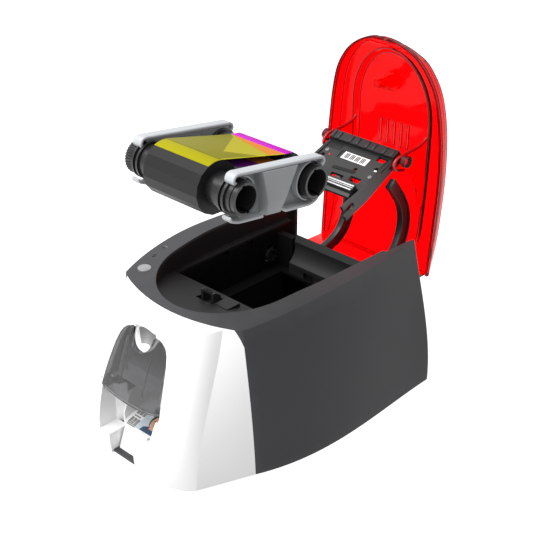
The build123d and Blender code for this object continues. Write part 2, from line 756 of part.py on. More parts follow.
def make_hopper(cavity):
    """The white hopper behind the door: frame, thumb bowl and card rails."""
    deep = hull(shell_wall + 2, -1)
    rail_z = hopper_z
    ring = (cavity - deep) & (door_outline(4, rail_z - 2) - door_outline(-1.5, rail_z - 4))
    ring -= rod_y(door_mid, scoop_z, scoop_r + 0.5, -160, -60)
    hopper = ring + thumb_bowl()
    rails = block(-29.5, 29.5, -150, -64, rail_z - 2, rail_z)
    rails += block(-frame_half, frame_half, -76, -64, rail_z - 2, rail_z)
    for side in (-1, 1):
        x0, x1 = sorted((side * 28, side * 29.5))
        rails += block(x0, x1, -150, -64, rail_z, 104)
    rails &= hull(shell_wall + 6, -1)
    for side in (-1, 1):
        x0, x1 = sorted((side * 28, side * 31.5))
        rails += block(x0, x1, -150, -100, rail_z - 2, rail_z) & deep
        rails += block(x0, x1, -150, -100, rail_z - 2, rail_z) & (cavity - deep)
    return biggest(hopper + rails)


def make_output_tray():
    """The white output tray: sloped bed, narrow front toe and side walls."""
    base = foot_high + base_thick
    full = liner_back + 0.6
    rise = (tray_high - tray_low) / (tray_rear - tray_front)
    top = tray_low + rise * (full - tray_front)
    bed = side_profile([(full, top), (tray_rear, tray_high), (tray_rear, tray_high - 2),
                        (full + 2, top - 2), (full + 2, 10), (full, 10)], -tray_half, tray_half)
    bed += side_profile([(tray_front, tray_low), (full + 1, top), (full + 1, base),
                         (tray_toe, base), (tray_toe + 0.6, base + 2)],
                        notch_left + 1.4, notch_right - 0.8)
    for side in (-1, 1):
        x0, x1 = sorted((side * tray_half, side * (tray_half + 1.5)))
        bed += side_profile([(full, base), (full, top + 8), (full + 8, 50), (tray_rear, 62),
                             (tray_rear, base)], x0, x1)
    return bed


def card_on_tray():
    """The printed card, lying on the tray's slope."""
    slope = degrees(atan2(tray_high - tray_low, tray_rear - tray_front))
    card = extrude(RectangleRounded(card_width, card_length, 3.18), amount=card_thick)
    return Pos(0, tray_front, tray_low) * Rot(slope, 0, 0) * Pos(0, card_length / 2 + 1.2, 0) * card


def make_card_stack():
    """Blank cards waiting in the hopper."""
    stack = extrude(RectangleRounded(card_width, card_length, 3.18), amount=12 * card_thick)
    return Pos(0, -117 + card_length / 2, hopper_z) * stack


# ---------------------------------------------------------------------------
# ribbon cassette, in its own frame: X along the spools, supply at -Y
# ---------------------------------------------------------------------------
def place_cassette(shape):
    """Put a shape of the cassette's own frame above the printer."""
    return Pos(cassette_x, cassette_y, cassette_z) * Rot(-cassette_tilt, 0, 0) * shape


def make_spool(y, geared_left=True):
    """A spool tube with stepped collars, key slots and a toothed end."""
    half = spool_long / 2
    spool = rod_x(y, 0, core_r + 1, -half, half)
    spool += rod_x(y, 0, spool_r, -half + 10, half - 4) + rod_x(y, 0, spool_r - 0.6, half - 4, half)
    for side in (-1, 1):
        for at in (plate_at - spool_play - 2, plate_at + plate_web + spool_play):
            x0, x1 = sorted((side * at, side * (at + 2)))
            spool += rod_x(y, 0, collar_r, x0, x1)
    if geared_left:
        teeth = 36
        points = []
        for k in range(teeth * 2):
            radius = spool_r + (0.5 if k % 2 else -0.5)
            a = 2 * pi * k / (teeth * 2)
            points.append((-half, y + radius * cos(a), radius * sin(a)))
        spool += extrude(make_face(Polyline(points, close=True)), amount=7, dir=(1, 0, 0))
    spool -= rod_x(y, 0, spool_bore, -half - 1, half + 1)
    for side in (-1, 1):
        x0, x1 = sorted((side * (half - 9), side * half))
        for k in range(2):
            a = 180 * k + 20
            slot = Rot(a, 0, 0) * block(x0, x1, -1.3, 1.3, spool_bore - 1, spool_bore + 1.1)
            spool -= Pos(0, y, 0) * slot
    return spool


def make_roll(y, radius):
    """Wound film on a spool tube."""
    return tube_x(y, 0, radius, spool_r, -film_width / 2, film_width / 2)


def plate_outline(x0, x1):
    """The side plate's web, seen from the side."""
    half = spool_pitch / 2
    points = [(-half - 13, plate_top - 5), (-half - 11, plate_top), (half + 11, plate_top),
              (half + 15, plate_top - 5), (half + 14, -4), (half + 10, plate_low + 5), (half + 4, plate_low),
              (-half - 2, plate_low), (-half - 12, plate_low + 5), (-half - 14, -4)]
    return side_profile(points, x0, x1)


def make_side_plate(side):
    """One side plate: web, top and bottom flanges, spool saddles, wedge."""
    web0, web1 = sorted((side * plate_at, side * (plate_at + plate_web)))
    far = plate_at + flange_wide
    rim0, rim1 = sorted((side * (plate_at - 2), side * far))
    saddle = spool_r + spool_play
    plate = plate_outline(web0, web1)
    rim = plate_outline(rim0, rim1)
    rim -= Pos(0, 0, -0.6) * Pos(0, 0, 0) * block(rim0 - 1, rim1 + 1, -60, 60, plate_low + 2.6, plate_top - 1.4)
    plate += rim
    for y in (-spool_pitch / 2, spool_pitch / 2):
        lip0, lip1 = sorted((side * plate_at, side * (plate_at + 6)))
        plate += tube_x(y, 0, saddle + 4.2, saddle + 2.6, lip0, lip1) & plate_outline(lip0, lip1)
        plate -= rod_x(y, 0, saddle, -90, 90)
        for a0, a1 in ((plate_at - 8, plate_at), (plate_at + plate_web, far + 1)):
            x0, x1 = sorted((side * a0, side * a1))
            plate -= rod_x(y, 0, collar_r + spool_play, x0, x1)
        low = block(min(side * 30, side * 60), max(side * 30, side * 60), y - 40 if y < 0 else y,
                    y if y < 0 else y + 40, -10, 6)
        plate -= low
    wedge = [(-20, plate_top - 2), (20, plate_top - 2), (7, plate_low - 0.5), (-7, plate_low - 0.5)]
    w0, w1 = sorted((side * (plate_at + plate_web), side * (far - 2)))
    block_ = side_profile(wedge, w0, w1)
    hollow0, hollow1 = sorted((side * (plate_at + plate_web), side * (far - 3.6)))
    inner = [(-18.2, plate_top - 3.6), (18.2, plate_top - 3.6), (6, plate_low + 1.2), (-6, plate_low + 1.2)]
    block_ -= side_profile(inner, hollow0, hollow1)
    plate += block_
    if side < 0:
        plate -= block(-60, -30, -12, 14, 2, plate_top - 3)
    return biggest(plate)


def make_film():
    """The film span between the two rolls."""
    half = spool_pitch / 2
    a, b = supply_roll_r + film_gap, takeup_roll_r + film_gap
    tilt = (a - b) / spool_pitch
    y0, z0 = -half + a * tilt, a * sqrt(1 - tilt * tilt)
    y1, z1 = half + b * tilt, b * sqrt(1 - tilt * tilt)
    return side_profile([(y0, z0), (y1, z1), (y1, z1 + film_thick), (y0, z0 + film_thick)],
                        -film_width / 2, film_width / 2)


# ---------------------------------------------------------------------------
# controls, catch, boards and motors
# ---------------------------------------------------------------------------
def make_button():
    """The round power button with its stem and retaining flange."""
    r = button_r - button_play
    cap = rod_z(button_x, button_y, r, button_z - 5, button_z + 1.4)
    cap = fillet(cap.edges().sort_by(Axis.Z)[-1:], 0.8)
    flange = rod_z(button_x, button_y, button_r + 1.6, button_z - 6.5, button_z - 5)
    return cap + flange + rod_z(button_x, button_y, 2.5, board_z + 1.6 + 3.2, button_z - 6)


def make_control_board(collar, cavity):
    """The small board under the rim, with the button's switch."""
    outline = [(-52, -73), (-74, -73), (-79, -60), (-82, -22), (-70, -22), (-64, -35), (-55, -55)]
    face = make_face(Polyline([(x, y, board_z) for x, y in outline], close=True))
    board = (extrude(face, amount=1.6) & cavity) - collar
    board += rod_z(button_x, button_y, 3.5, board_z + 1.6, board_z + 1.6 + 2.0)
    return biggest(board)


def make_light_pipe():
    """One clear moulding with a light pipe for each indicator."""
    low = board_z + 1.6
    pipe = block(-76, -68, -46, -28, low, low + 2)
    for x, y in led_spots:
        pipe += rod_z(x, y, led_r, low, crown_at(y) + 0.1)
    return pipe


def make_catch():
    """The sprung catch: a slide with two jaws and a locking bar."""
    x0, x1 = catch_mid - catch_half, catch_mid + catch_half
    catch = block(x0, x1, catch_y - 6, catch_y + 5.5, 114 + catch_play, 118)
    for a, b in ((x0 + 1, x0 + 4), (x1 - 4, x1 - 1)):
        catch += side_profile([(catch_y - 6, 118), (catch_y + 4, 118), (catch_y + 2.5, 126),
                               (catch_y - 3, 130), (catch_y - 6, 130)], a, b)
    bar = side_profile([(catch_y - 6, 128.8), (catch_y - 3.4, 128.8), (catch_y - 3.4, 130),
                        (catch_y - 6, 131.5)], x0 + 4, x1 - 4)
    return catch + bar


def catch_guide():
    """The channel under the ramp that the catch slides in."""
    x0, x1 = catch_mid - catch_half - catch_play, catch_mid + catch_half + catch_play
    y0, y1 = catch_y - 12, catch_y + 10
    guide = block(x0 - 2.4, x1 + 2.4, y0, y1, 112, 119)
    return guide - block(x0, x1, y0 + 2, y1 - 2, 114, 130)


def make_main_board():
    """The main board on its standoffs."""
    board = block(-84, -58, -24, 78, 12, 13.6)
    for x, y in ((-81, -20), (-81, 74), (-61, -20), (-61, 74)):
        board += rod_z(x, y, 2.5, foot_high + base_thick, 12)
    for x0, x1, y0, y1, h in ((-78, -64, 4, 18, 2.2), (-72, -60, 36, 54, 3), (-80, -71, 58, 70, 9)):
        board += block(x0, x1, y0, y1, 13.6, 13.6 + h)
    return board


def make_socket(x0, x1, z0, z1, deep, pin):
    """A socket in the rear wall with its contact inside."""
    body = block(x0, x1, rear_y - deep, rear_y, z0, z1)
    cx, cz = (x0 + x1) / 2, (z0 + z1) / 2
    w, h = (x1 - x0) / 2 - 1.6, (z1 - z0) / 2 - 1.6
    body -= block(cx - w, cx + w, rear_y - deep + 3, rear_y + 1, cz - h, cz + h)
    return body + block(cx - pin, cx + pin, rear_y - deep + 2, rear_y - 3, cz - pin * 0.6, cz + pin * 0.6)


def make_socket_bracket():
    """The folded bracket that holds both sockets over the base plate."""
    base = foot_high + base_thick
    z = sockets["power_inlet"][2]
    plate = block(24, 74, rear_y - 24, rear_y - 6, z - 1.5, z)
    return plate + block(24, 74, rear_y - 24, rear_y - 22.5, base, z)


def make_motor_bracket(y, z):
    """The folded bracket that carries the drive motor."""
    base = foot_high + base_thick
    x = gear_x() + gear_wide + 1.2
    plate = block(x, x + 2, y - 20, y + 20, base, z + 20)
    plate += block(x + 2, x + 14, y - 20, y + 20, base, base + 2)
    return plate - rod_x(y, z, 4, x - 1, x + 3)


def make_motor(y, z):
    """The drive motor's can and its end boss."""
    x = gear_x() + gear_wide + 3.2
    can = rod_x(y, z, motor_r, x, x + motor_long)
    return can + rod_x(y, z, 4, x - 2, x) - rod_x(y, z, 1.5 + shaft_play, x - 3, x + 12)


def make_pinion(y, z, phase):
    """The motor pinion with its own shaft."""
    wheel = place_gear(y, z, pinion_teeth, 1.5, phase)
    return wheel + rod_x(y, z, 1.5, gear_x(), gear_x() + gear_wide + 14)


def make_hub():
    """The ribbon drive hub in the bay's left window."""
    hub = rod_x(hub_y, hub_z, 6.8, -68, -57) + rod_x(hub_y, hub_z, 7.6, -68, -64)
    hub -= rod_x(hub_y, hub_z, 4.6, -60, -56)
    for k in range(3):
        a = radians(90 + 120 * k)
        y, z = hub_y + 5.7 * cos(a), hub_z + 5.7 * sin(a)
        hub += rod_x(y, z, 1.0, -57, -55.4)
    return hub + rod_x(hub_y, hub_z, 2, -78, -68)


def make_ribbon_motor():
    """The ribbon motor and its foot, left of the bay."""
    base = foot_high + base_thick
    can = rod_x(hub_y, hub_z, 9, -83, -71)
    can += block(-74, -71, hub_y - 9, hub_y + 9, base, hub_z)
    can += block(-71, -62, hub_y - 9, hub_y + 9, bay_floor - 6, bay_floor - 3)
    return can - rod_x(hub_y, hub_z, 2 + shaft_play, -79, -60)


def make_hinge_bracket(side):
    """A bracket on the bay floor that holds the hinge pin."""
    x0, x1 = sorted((side * 40, side * 47))
    stem = rod_x(hinge_y, hinge_z, 6, x0, x1) + block(x0, x1, hinge_y - 6, hinge_y + 6, bay_floor, hinge_z)
    stem += block(x0, x1, hinge_y - 14, hinge_y + 6, bay_floor, bay_floor + 2)
    return stem - rod_x(hinge_y, hinge_z, hinge_pin_r, x0 - 1, x1 + 1)


# ---------------------------------------------------------------------------
# build
# ---------------------------------------------------------------------------
def housing_parts():
    front, body, cavity = make_shells()
    collar = make_collar(cavity)
    control_board = make_control_board(collar, cavity)
    parts = {"front_shell": front, "body_shell": body, "bay_collar": collar,
             "base_plate": make_base(cavity), "bay_tub": make_tub(), "rear_beam": make_beam(),
             "control_board": control_board, "light_pipe": make_light_pipe(),
             "card_hopper": make_hopper(cavity), "foot_rear": make_rear_foot()}
    for name, x, y in (("foot_front_left", -60, -98), ("foot_front_right", 60, -98), ("foot_centre", 0, 0)):
        parts[name] = make_foot(x, y)
    return parts


def drive_parts():
    parts = {}
    train = drive_train()
    shafts = [train[name][:2] for name in ("platen", "transport", "feed")]
    idlers = [train[name][:2] for name in ("idler", "feed_idler")]
    parts["frame_left"] = make_side_frame(-1, shafts)
    parts["frame_right"] = make_side_frame(1, shafts + idlers)
    for name, grooves in (("platen", 0), ("transport", 2), ("feed", 3)):
        y, z, phase = train[name]
        parts[f"{name}_roller"] = make_roller(y, z, grooves=grooves)
        parts[f"{name}_shaft"] = make_shaft(y, z)
        parts[f"{name}_gear"] = place_gear(y, z, roller_teeth, roller_shaft_r, phase)
    for name in ("idler", "feed_idler"):
        y, z, phase = train[name]
        wheel = place_gear(y, z, roller_teeth, 1, phase)
        x1 = gear_x() + gear_wide
        parts[f"{name}_gear"] = wheel + rod_x(y, z, roller_shaft_r, frame_half - 2, x1)
    y, z, phase = pinion_place()
    parts["motor_pinion"] = make_pinion(y, z, phase)
    parts["motor_bracket"] = make_motor_bracket(y, z)
    parts["drive_motor"] = make_motor(y, z)
    parts["ribbon_hub"] = make_hub()
    parts["ribbon_motor"] = make_ribbon_motor()
    return parts


def lid_parts():
    shell = make_lid()
    open_shell = swing_open(shell)
    parts = {"lid_shell": open_shell, "latch_tongue": swing_open(make_tongue(shell)),
             "head_arm_left": swing_open(make_arm(-1, shell)),
             "head_arm_right": swing_open(make_arm(1, shell)),
             "head_ear_left": make_ear(-1, open_shell),
             "head_ear_right": make_ear(1, open_shell),
             "hinge_pin": rod_x(hinge_y, hinge_z, hinge_pin_r, -59, 59),
             "hinge_bracket_left": make_hinge_bracket(-1),
             "hinge_bracket_right": make_hinge_bracket(1)}
    for name, shape in (("head_carrier", make_carrier()), ("print_head_bar", make_head_bar()),
                        ("head_label", make_label())):
        parts[name] = place_head(shape)
    return parts


def cassette_parts():
    half = spool_pitch / 2
    shapes = {"supply_spool": make_spool(-half), "takeup_spool": make_spool(half),
              "supply_roll": make_roll(-half, supply_roll_r),
              "takeup_roll": make_roll(half, takeup_roll_r),
              "cassette_plate_left": make_side_plate(-1),
              "cassette_plate_right": make_side_plate(1), "ribbon_film": make_film()}
    return {name: place_cassette(shape) for name, shape in shapes.items()}


def small_parts():
    return {"feeder_door": make_door(), "output_tray": make_output_tray(),
            "printed_card": card_on_tray(), "blank_cards": make_card_stack(),
            "power_button": make_button(), "lid_catch": make_catch(),
            "main_board": make_main_board(), "socket_bracket": make_socket_bracket(),
            "power_inlet": make_socket(*sockets["power_inlet"], 16, 2.2),
            "usb_socket": make_socket(*sockets["usb_socket"], 14, 1.8)}


def main():
    os.makedirs("parts", exist_ok=True)
    parts = housing_parts() | drive_parts() | lid_parts() | cassette_parts() | small_parts()
    for name, shape in parts.items():
        export_step(shape, f"parts/{name}.step")
    print(len(parts), "parts")


main()
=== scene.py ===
"""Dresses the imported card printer: materials, finer covers, film, cards and the stage."""

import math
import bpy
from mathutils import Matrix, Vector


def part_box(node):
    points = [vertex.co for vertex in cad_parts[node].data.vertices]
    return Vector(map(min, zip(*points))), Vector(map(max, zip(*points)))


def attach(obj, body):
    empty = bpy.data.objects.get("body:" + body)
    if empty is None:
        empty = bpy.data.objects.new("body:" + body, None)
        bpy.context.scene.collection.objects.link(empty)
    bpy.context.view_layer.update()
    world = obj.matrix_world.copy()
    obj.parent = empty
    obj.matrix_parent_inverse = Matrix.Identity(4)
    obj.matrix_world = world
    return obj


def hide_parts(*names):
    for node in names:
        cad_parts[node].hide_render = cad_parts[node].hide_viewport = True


bl_info = {
    "name": "Card printer dressing",
    "version": (1, 0, 0),
    "blender": (4, 5, 0),
    "location": "3D View > Sidebar > Card printer",
    "description": "Adds finishes and fine pieces to the packed card printer",
    "category": "Object",
}

import bmesh
import bpy
import numpy
from mathutils import Matrix, Vector

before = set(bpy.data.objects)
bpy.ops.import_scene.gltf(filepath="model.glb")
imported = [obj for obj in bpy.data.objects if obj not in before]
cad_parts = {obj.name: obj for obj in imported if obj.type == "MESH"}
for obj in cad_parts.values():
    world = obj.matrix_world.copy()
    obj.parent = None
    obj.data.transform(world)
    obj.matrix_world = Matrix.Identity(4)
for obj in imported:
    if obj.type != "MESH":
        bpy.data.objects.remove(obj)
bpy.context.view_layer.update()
MM = 0.001

# the photograph's camera
CAMERA_PLACE = (0.6662, -0.6684, 0.6391)
CAMERA_TURN = (90 - 28.05, 0.0, 43.95)
CAMERA_LENS = 84.43
SENSOR = 36.0


# ---------------------------------------------------------------------------
# node helpers
# ---------------------------------------------------------------------------
def shade_node(tree, kind, **values):
    """Add a node and set its plain settings."""
    node = tree.nodes.new(kind)
    for name, value in values.items():
        setattr(node, name, value)
    return node
def set_inputs(tree, node, **values):
    """Set inputs by name, each to a value or to the socket that feeds it."""
    for label, value in values.items():
        socket = node.inputs[label.replace("_", " ")]
        if isinstance(value, bpy.types.NodeSocket):
            tree.links.new(value, socket)
        else:
            socket.default_value = value
    return node


def math_node(tree, operation, *values):
    """A math node's output; each value is a number or the socket that feeds it."""
    node = shade_node(tree, "ShaderNodeMath", operation=operation)
    for socket, value in zip(node.inputs, values):
        if isinstance(value, bpy.types.NodeSocket):
            tree.links.new(value, socket)
        else:
            socket.default_value = value
    return node.outputs[0]


def noise(tree, position, **values):
    """Noise over a position."""
    node = shade_node(tree, "ShaderNodeTexNoise")
    return set_inputs(tree, node, Vector=position, **values).outputs["Fac"]

def effect_group(name, inputs, outputs):
    """An empty shader node group with named sockets, and its two end nodes."""
    group = bpy.data.node_groups.new(name, "ShaderNodeTree")
    kinds = {"float": "NodeSocketFloat", "color": "NodeSocketColor", "vector": "NodeSocketVector"}
    for label, kind, value in inputs:
        socket = group.interface.new_socket(name=label, in_out="INPUT", socket_type=kinds[kind])
        socket.default_value = value
    for label, kind in outputs:
        group.interface.new_socket(name=label, in_out="OUTPUT", socket_type=kinds[kind])
    return group, group.nodes.new("NodeGroupInput"), group.nodes.new("NodeGroupOutput")


def moulded_skin_group():
    """Fine moulded grain: a height, and a roughness that varies a little."""
    group, take, give = effect_group(
        "Moulded skin",
        [("Position", "vector", (0, 0, 0)), ("Grain Scale", "float", 900.0),
         ("Roughness", "float", 0.4), ("Roughness Spread", "float", 0.08)],
        [("Height", "float"), ("Roughness", "float")])
    position, roughness = take.outputs["Position"], take.outputs["Roughness"]
    grain = noise(group, position, Scale=take.outputs["Grain Scale"], Detail=3.0)
    cloud = noise(group, position, Scale=18.0)
    centred = math_node(group, "SUBTRACT", cloud, 0.5)
    spread = math_node(group, "MULTIPLY_ADD", centred, take.outputs["Roughness Spread"], roughness)
    set_inputs(group, give, Height=grain, Roughness=spread)
    return group


def patchy_colour_with_edge_highlight_group():
    """A colour with soft patches, and a painted highlight: a lighter tone along the edges."""
    group, take, give = effect_group(
        "Handled colour",
        [("Position", "vector", (0, 0, 0)), ("Color", "color", (0.8, 0.8, 0.8, 1)),
         ("Edge Color", "color", (1, 1, 1, 1)), ("Edge Amount", "float", 0.2),
         ("Patch Amount", "float", 0.06)],
        [("Color", "color")])
    patch = noise(group, take.outputs["Position"], Scale=26.0, Detail=4.0)
    darkest = math_node(group, "SUBTRACT", 1.0, take.outputs["Patch Amount"])
    tone = set_inputs(group, shade_node(group, "ShaderNodeMapRange"), Value=patch, From_Min=0.3,
                      From_Max=0.7, To_Min=1.0, To_Max=darkest)
    toned = set_inputs(group, shade_node(group, "ShaderNodeVectorMath", operation="SCALE"),
                       Vector=take.outputs["Color"], Scale=tone.outputs[0])
    geometry = shade_node(group, "ShaderNodeNewGeometry")
    # painted highlight: edges found by pointiness get the lighter edge colour
    edge = set_inputs(group, shade_node(group, "ShaderNodeMapRange"),
                      Value=geometry.outputs["Pointiness"], From_Min=0.52, From_Max=0.6)
    amount = math_node(group, "MULTIPLY", edge.outputs[0], take.outputs["Edge Amount"])
    edge_highlighted = set_inputs(group, shade_node(group, "ShaderNodeMix", data_type="RGBA"), Factor=amount,
                      A=toned.outputs[0], B=take.outputs["Edge Color"])
    set_inputs(group, give, Color=edge_highlighted.outputs["Result"])
    return group


def brushed_metal_group():
    """Fine drawn lines along X: a height and a roughness."""
    group, take, give = effect_group(
        "Brushed metal",
        [("Position", "vector", (0, 0, 0)), ("Line Scale", "float", 1400.0),
         ("Roughness", "float", 0.3)],
        [("Height", "float"), ("Roughness", "float")])
    stretch = set_inputs(group, shade_node(group, "ShaderNodeMapping"),
                         Vector=take.outputs["Position"], Scale=(0.02, 1.0, 1.0))
    lines = noise(group, stretch.outputs["Vector"], Scale=take.outputs["Line Scale"])
    blur = math_node(group, "MULTIPLY_ADD", lines, 0.25, take.outputs["Roughness"])
    set_inputs(group, give, Height=lines, Roughness=blur)
    return group


def new_material(name, **shader):
    """A material with one Principled shader whose constants are set directly."""
    material = bpy.data.materials.new(name)
    material.use_nodes = True
    principled = material.node_tree.nodes["Principled BSDF"]
    set_inputs(material.node_tree, principled, **shader)
    return material, material.node_tree, principled


def place_group(tree, group, **values):
    """Put a shared effect in a material, fed by the object's own coordinates."""
    node = shade_node(tree, "ShaderNodeGroup", node_tree=group)
    where = shade_node(tree, "ShaderNodeTexCoord")
    return set_inputs(tree, node, Position=where.outputs["Object"], **values)


def dress(tree, principled, tone, surface, depth, strength=0.3):
    """Feed a colour effect and a surface effect into the shader."""
    bump = set_inputs(tree, shade_node(tree, "ShaderNodeBump"), Strength=strength, Distance=depth,
                      Height=surface.outputs["Height"])
    set_inputs(tree, principled, Base_Color=tone.outputs["Color"],
               Roughness=surface.outputs["Roughness"], Normal=bump.outputs["Normal"])


def plastic(name, color, edge, roughness=0.4, grain=900.0, depth=0.00003, edge_amount=0.25,
            patch=0.05, spread=0.08, **shader):
    """Moulded plastic with grain, soft patches and a painted highlight along its edges."""
    material, tree, principled = new_material(name, **shader)
    skin = place_group(tree, EFFECTS["skin"], Grain_Scale=grain, Roughness=roughness,
                       Roughness_Spread=spread)
    tone = place_group(tree, EFFECTS["colour"], Color=(*color, 1), Edge_Color=(*edge, 1),
                       Edge_Amount=edge_amount, Patch_Amount=patch)
    dress(tree, principled, tone, skin, depth)
    return material


def metal(name, color, roughness=0.25):
    """Drawn or ground metal."""
    material, tree, principled = new_material(name, Metallic=1.0)
    lines = place_group(tree, EFFECTS["metal"], Roughness=roughness)
    # the near-white edge colour is a painted highlight along the metal's edges
    tone = place_group(tree, EFFECTS["colour"], Color=(*color, 1), Edge_Color=(0.95, 0.95, 0.95, 1),
                       Edge_Amount=0.3, Patch_Amount=0.08)
    dress(tree, principled, tone, lines, 0.00002)
    return material


def clear_plastic(name, color, roughness=0.04, transmission=1.0, ior=1.45):
    """See-through plastic with faint flow marks."""
    material, tree, principled = new_material(name, Transmission_Weight=transmission, IOR=ior)
    skin = place_group(tree, EFFECTS["skin"], Grain_Scale=60.0, Roughness=roughness,
                       Roughness_Spread=0.03)
    tone = place_group(tree, EFFECTS["colour"], Color=(*color, 1), Edge_Color=(*color, 1),
                       Edge_Amount=0.0, Patch_Amount=0.04)
    dress(tree, principled, tone, skin, 0.00004, 0.15)
    return material


def film_plastic(name, color, clear):
    """Thin dyed film, glossy and partly see-through."""
    return plastic(name, color, color, 0.35, grain=200.0, depth=0.00001, edge_amount=0.0,
                   patch=0.03, spread=0.04, Transmission_Weight=clear, IOR=1.2,
                   Specular_IOR_Level=0.06)


def even(value):
    """A grey with the same value in all three channels."""
    return (value, value, value)


def scaled(color, factor):
    """A colour made lighter or darker."""
    return tuple(c * factor for c in color)


EFFECTS = {}
FINISHES = {}


def make_finishes(scene):
    """Build the shared effects and every finish, once."""
    EFFECTS.update(skin=moulded_skin_group(), colour=patchy_colour_with_edge_highlight_group(),
                   metal=brushed_metal_group())
    lid, film, cassette = scene.printer_lid, scene.printer_film, scene.printer_cassette
    grey = tuple(cassette.color)
    dull = dict(patch=0.02, spread=0.04)
    FINISHES.update({
        "white": plastic("white gloss moulding", even(0.93), even(0.97), 0.34, patch=0.006,
                         spread=0.02, edge_amount=0.1),
        "dark": plastic("dark satin housing", (0.04, 0.041, 0.0435), (0.1, 0.1, 0.105), 0.5,
                        Specular_IOR_Level=0.22, **dull),
        "black": plastic("black bay moulding", (0.0075, 0.0075, 0.008), even(0.04), 0.5,
                         Specular_IOR_Level=0.25, **dull),
        "web": plastic("grey cassette web", scaled(grey, 0.8), (0.5, 0.51, 0.53), 0.42, **dull),
        "grey": plastic("grey cassette plate", scaled(grey, 1.15), (0.6, 0.61, 0.63), 0.38, **dull),
        # the cassette grey lightened: a painted highlight on the rolled lips and saddles
        "pale_grey": plastic("pale cassette lip", scaled(grey, 1.75), (0.8, 0.81, 0.83), 0.34, **dull),
        "button": plastic("pale button", (0.27, 0.27, 0.275), even(0.5), 0.25, **dull),
        "head": plastic("dark head moulding", (0.012, 0.012, 0.013), even(0.07), 0.36, **dull),
        "core": plastic("black spool", (0.007, 0.007, 0.008), even(0.06), 0.28, **dull),
        "wound": plastic("wound black film", (0.009, 0.009, 0.0095), even(0.03), 0.42,
                         Specular_IOR_Level=0.22, **dull),
        "rubber": plastic("roller rubber", (0.02, 0.02, 0.021), even(0.05), 0.7),
        "gear": plastic("grey gear", (0.12, 0.12, 0.115), even(0.3), 0.45),
        "board": plastic("green board", (0.01, 0.08, 0.03), (0.05, 0.2, 0.08), 0.4),
        "card": plastic("card face", even(0.9), even(0.95), 0.25, patch=0.01),
        "label": plastic("grey label", (0.09, 0.092, 0.095), even(0.2), 0.5),
        "paper": plastic("white paper", even(0.88), even(0.93), 0.5, patch=0.01),
        "ink": plastic("black ink", even(0.01), even(0.02), 0.4, **dull),
        "ring": plastic("grey ring", (0.24, 0.24, 0.245), even(0.3), 0.35, **dull),
        "picture": plastic("picture ground", (0.62, 0.7, 0.76), (0.7, 0.78, 0.8), 0.3, patch=0.15),
        "skin": plastic("printed skin", (0.72, 0.42, 0.28), (0.8, 0.5, 0.35), 0.3, patch=0.05),
        "hair": plastic("printed hair", (0.03, 0.018, 0.012), (0.05, 0.03, 0.02), 0.3),
        "cloth": plastic("printed cloth", (0.05, 0.09, 0.16), (0.07, 0.12, 0.2), 0.3),
        "lips": plastic("printed lips", (0.45, 0.12, 0.1), (0.5, 0.15, 0.12), 0.3),
        "solid_red": plastic("red moulding", (0.42, 0.002, 0.003), (0.8, 0.05, 0.05), 0.12, **dull),
        "silver": plastic("ground strip", (0.55, 0.55, 0.56), even(0.8), 0.3, Metallic=0.3, **dull),
        # darker than the black mouldings: partly their own black, partly painted shade deep in the bay
        "deep": plastic("unlit black moulding", even(0.003), even(0.01), 0.6,
                        Specular_IOR_Level=0.08, **dull),
        "red_paint": plastic("red spot", (0.7, 0.01, 0.01), (0.8, 0.05, 0.05), 0.3),
        "dark_red": plastic("dark red edge", (0.085, 0.001, 0.002), (0.3, 0.01, 0.01), 0.2, **dull),
        "deep_red": plastic("deep red line", (0.32, 0.002, 0.003), (0.6, 0.02, 0.02), 0.2, **dull),
        "steel": metal("ground steel", (0.55, 0.55, 0.56)),
        "alloy": metal("bright alloy", even(0.8), 0.18),
        "red": clear_plastic("red clear lid", tuple(lid.color), ior=1.16),
        "smoke": clear_plastic("smoked clear door", (0.3, 0.302, 0.306), 0.12, 0.86, 1.25),
        "bowl": plastic("shaded bowl", even(0.24), even(0.6), 0.4, **dull),
        "clear": clear_plastic("clear light pipe", even(0.85)),
        "yellow": film_plastic("shaded yellow film", (0.24, 0.22, 0.008), 0.12),
        "lit": film_plastic("lit yellow film", (0.4, 0.35, 0.01), 0.0),
        "band": film_plastic("yellow film on the roll", scaled(film.yellow, 0.5), 0.0),
        "bright_yellow": film_plastic("lit film edge", (0.85, 0.75, 0.02), 0.0),
        "magenta": film_plastic("magenta film", tuple(film.magenta), 0.1),
        "purple": film_plastic("purple film", (0.2, 0.02, 0.3), 0.1),
        "orange": film_plastic("orange film", (0.62, 0.2, 0.015), 0.0),
    })


NODE_FINISHES = {
    "white": ("front_shell", "card_hopper", "output_tray"),
    "dark": ("body_shell", "base_plate", "hinge_bracket_left", "hinge_bracket_right"),
    "black": ("bay_collar", "rear_beam", "lid_catch", "power_inlet"),
    # the bay's tub and frames: partly their own black, partly painted shade in the bay
    "deep": ("bay_tub", "frame_left", "frame_right"),
    "head": ("head_carrier", "head_arm_left", "head_arm_right", "print_head_bar"),
    "grey": ("cassette_plate_left", "cassette_plate_right"),
    "core": ("supply_spool", "takeup_spool", "ribbon_hub"),
    "wound": ("supply_roll", "takeup_roll"),
    "button": ("power_button",),
    "rubber": ("platen_roller", "transport_roller", "feed_roller", "foot_rear", "foot_front_left",
               "foot_front_right", "foot_centre"),
    "gear": ("platen_gear", "transport_gear", "feed_gear", "idler_gear", "feed_idler_gear",
             "motor_pinion"),
    "board": ("control_board", "main_board"),
    "card": ("blank_cards", "printed_card"),
    "label": ("head_label",),
    "steel": ("platen_shaft", "transport_shaft", "feed_shaft", "motor_bracket", "drive_motor",
              "ribbon_motor", "hinge_pin", "socket_bracket", "usb_socket"),
    "red": ("lid_shell", "latch_tongue", "head_ear_left", "head_ear_right"),
    "smoke": ("feeder_door",),
    "clear": ("light_pipe",),
    "yellow": ("ribbon_film",),
}


def finish_node(name, finish):
    """Give a CAD node a finish."""
    obj = bpy.data.objects[name]
    if not obj.data.materials:
        obj.data.materials.append(FINISHES[finish])
    for slot in obj.material_slots:
        slot.material = FINISHES[finish]
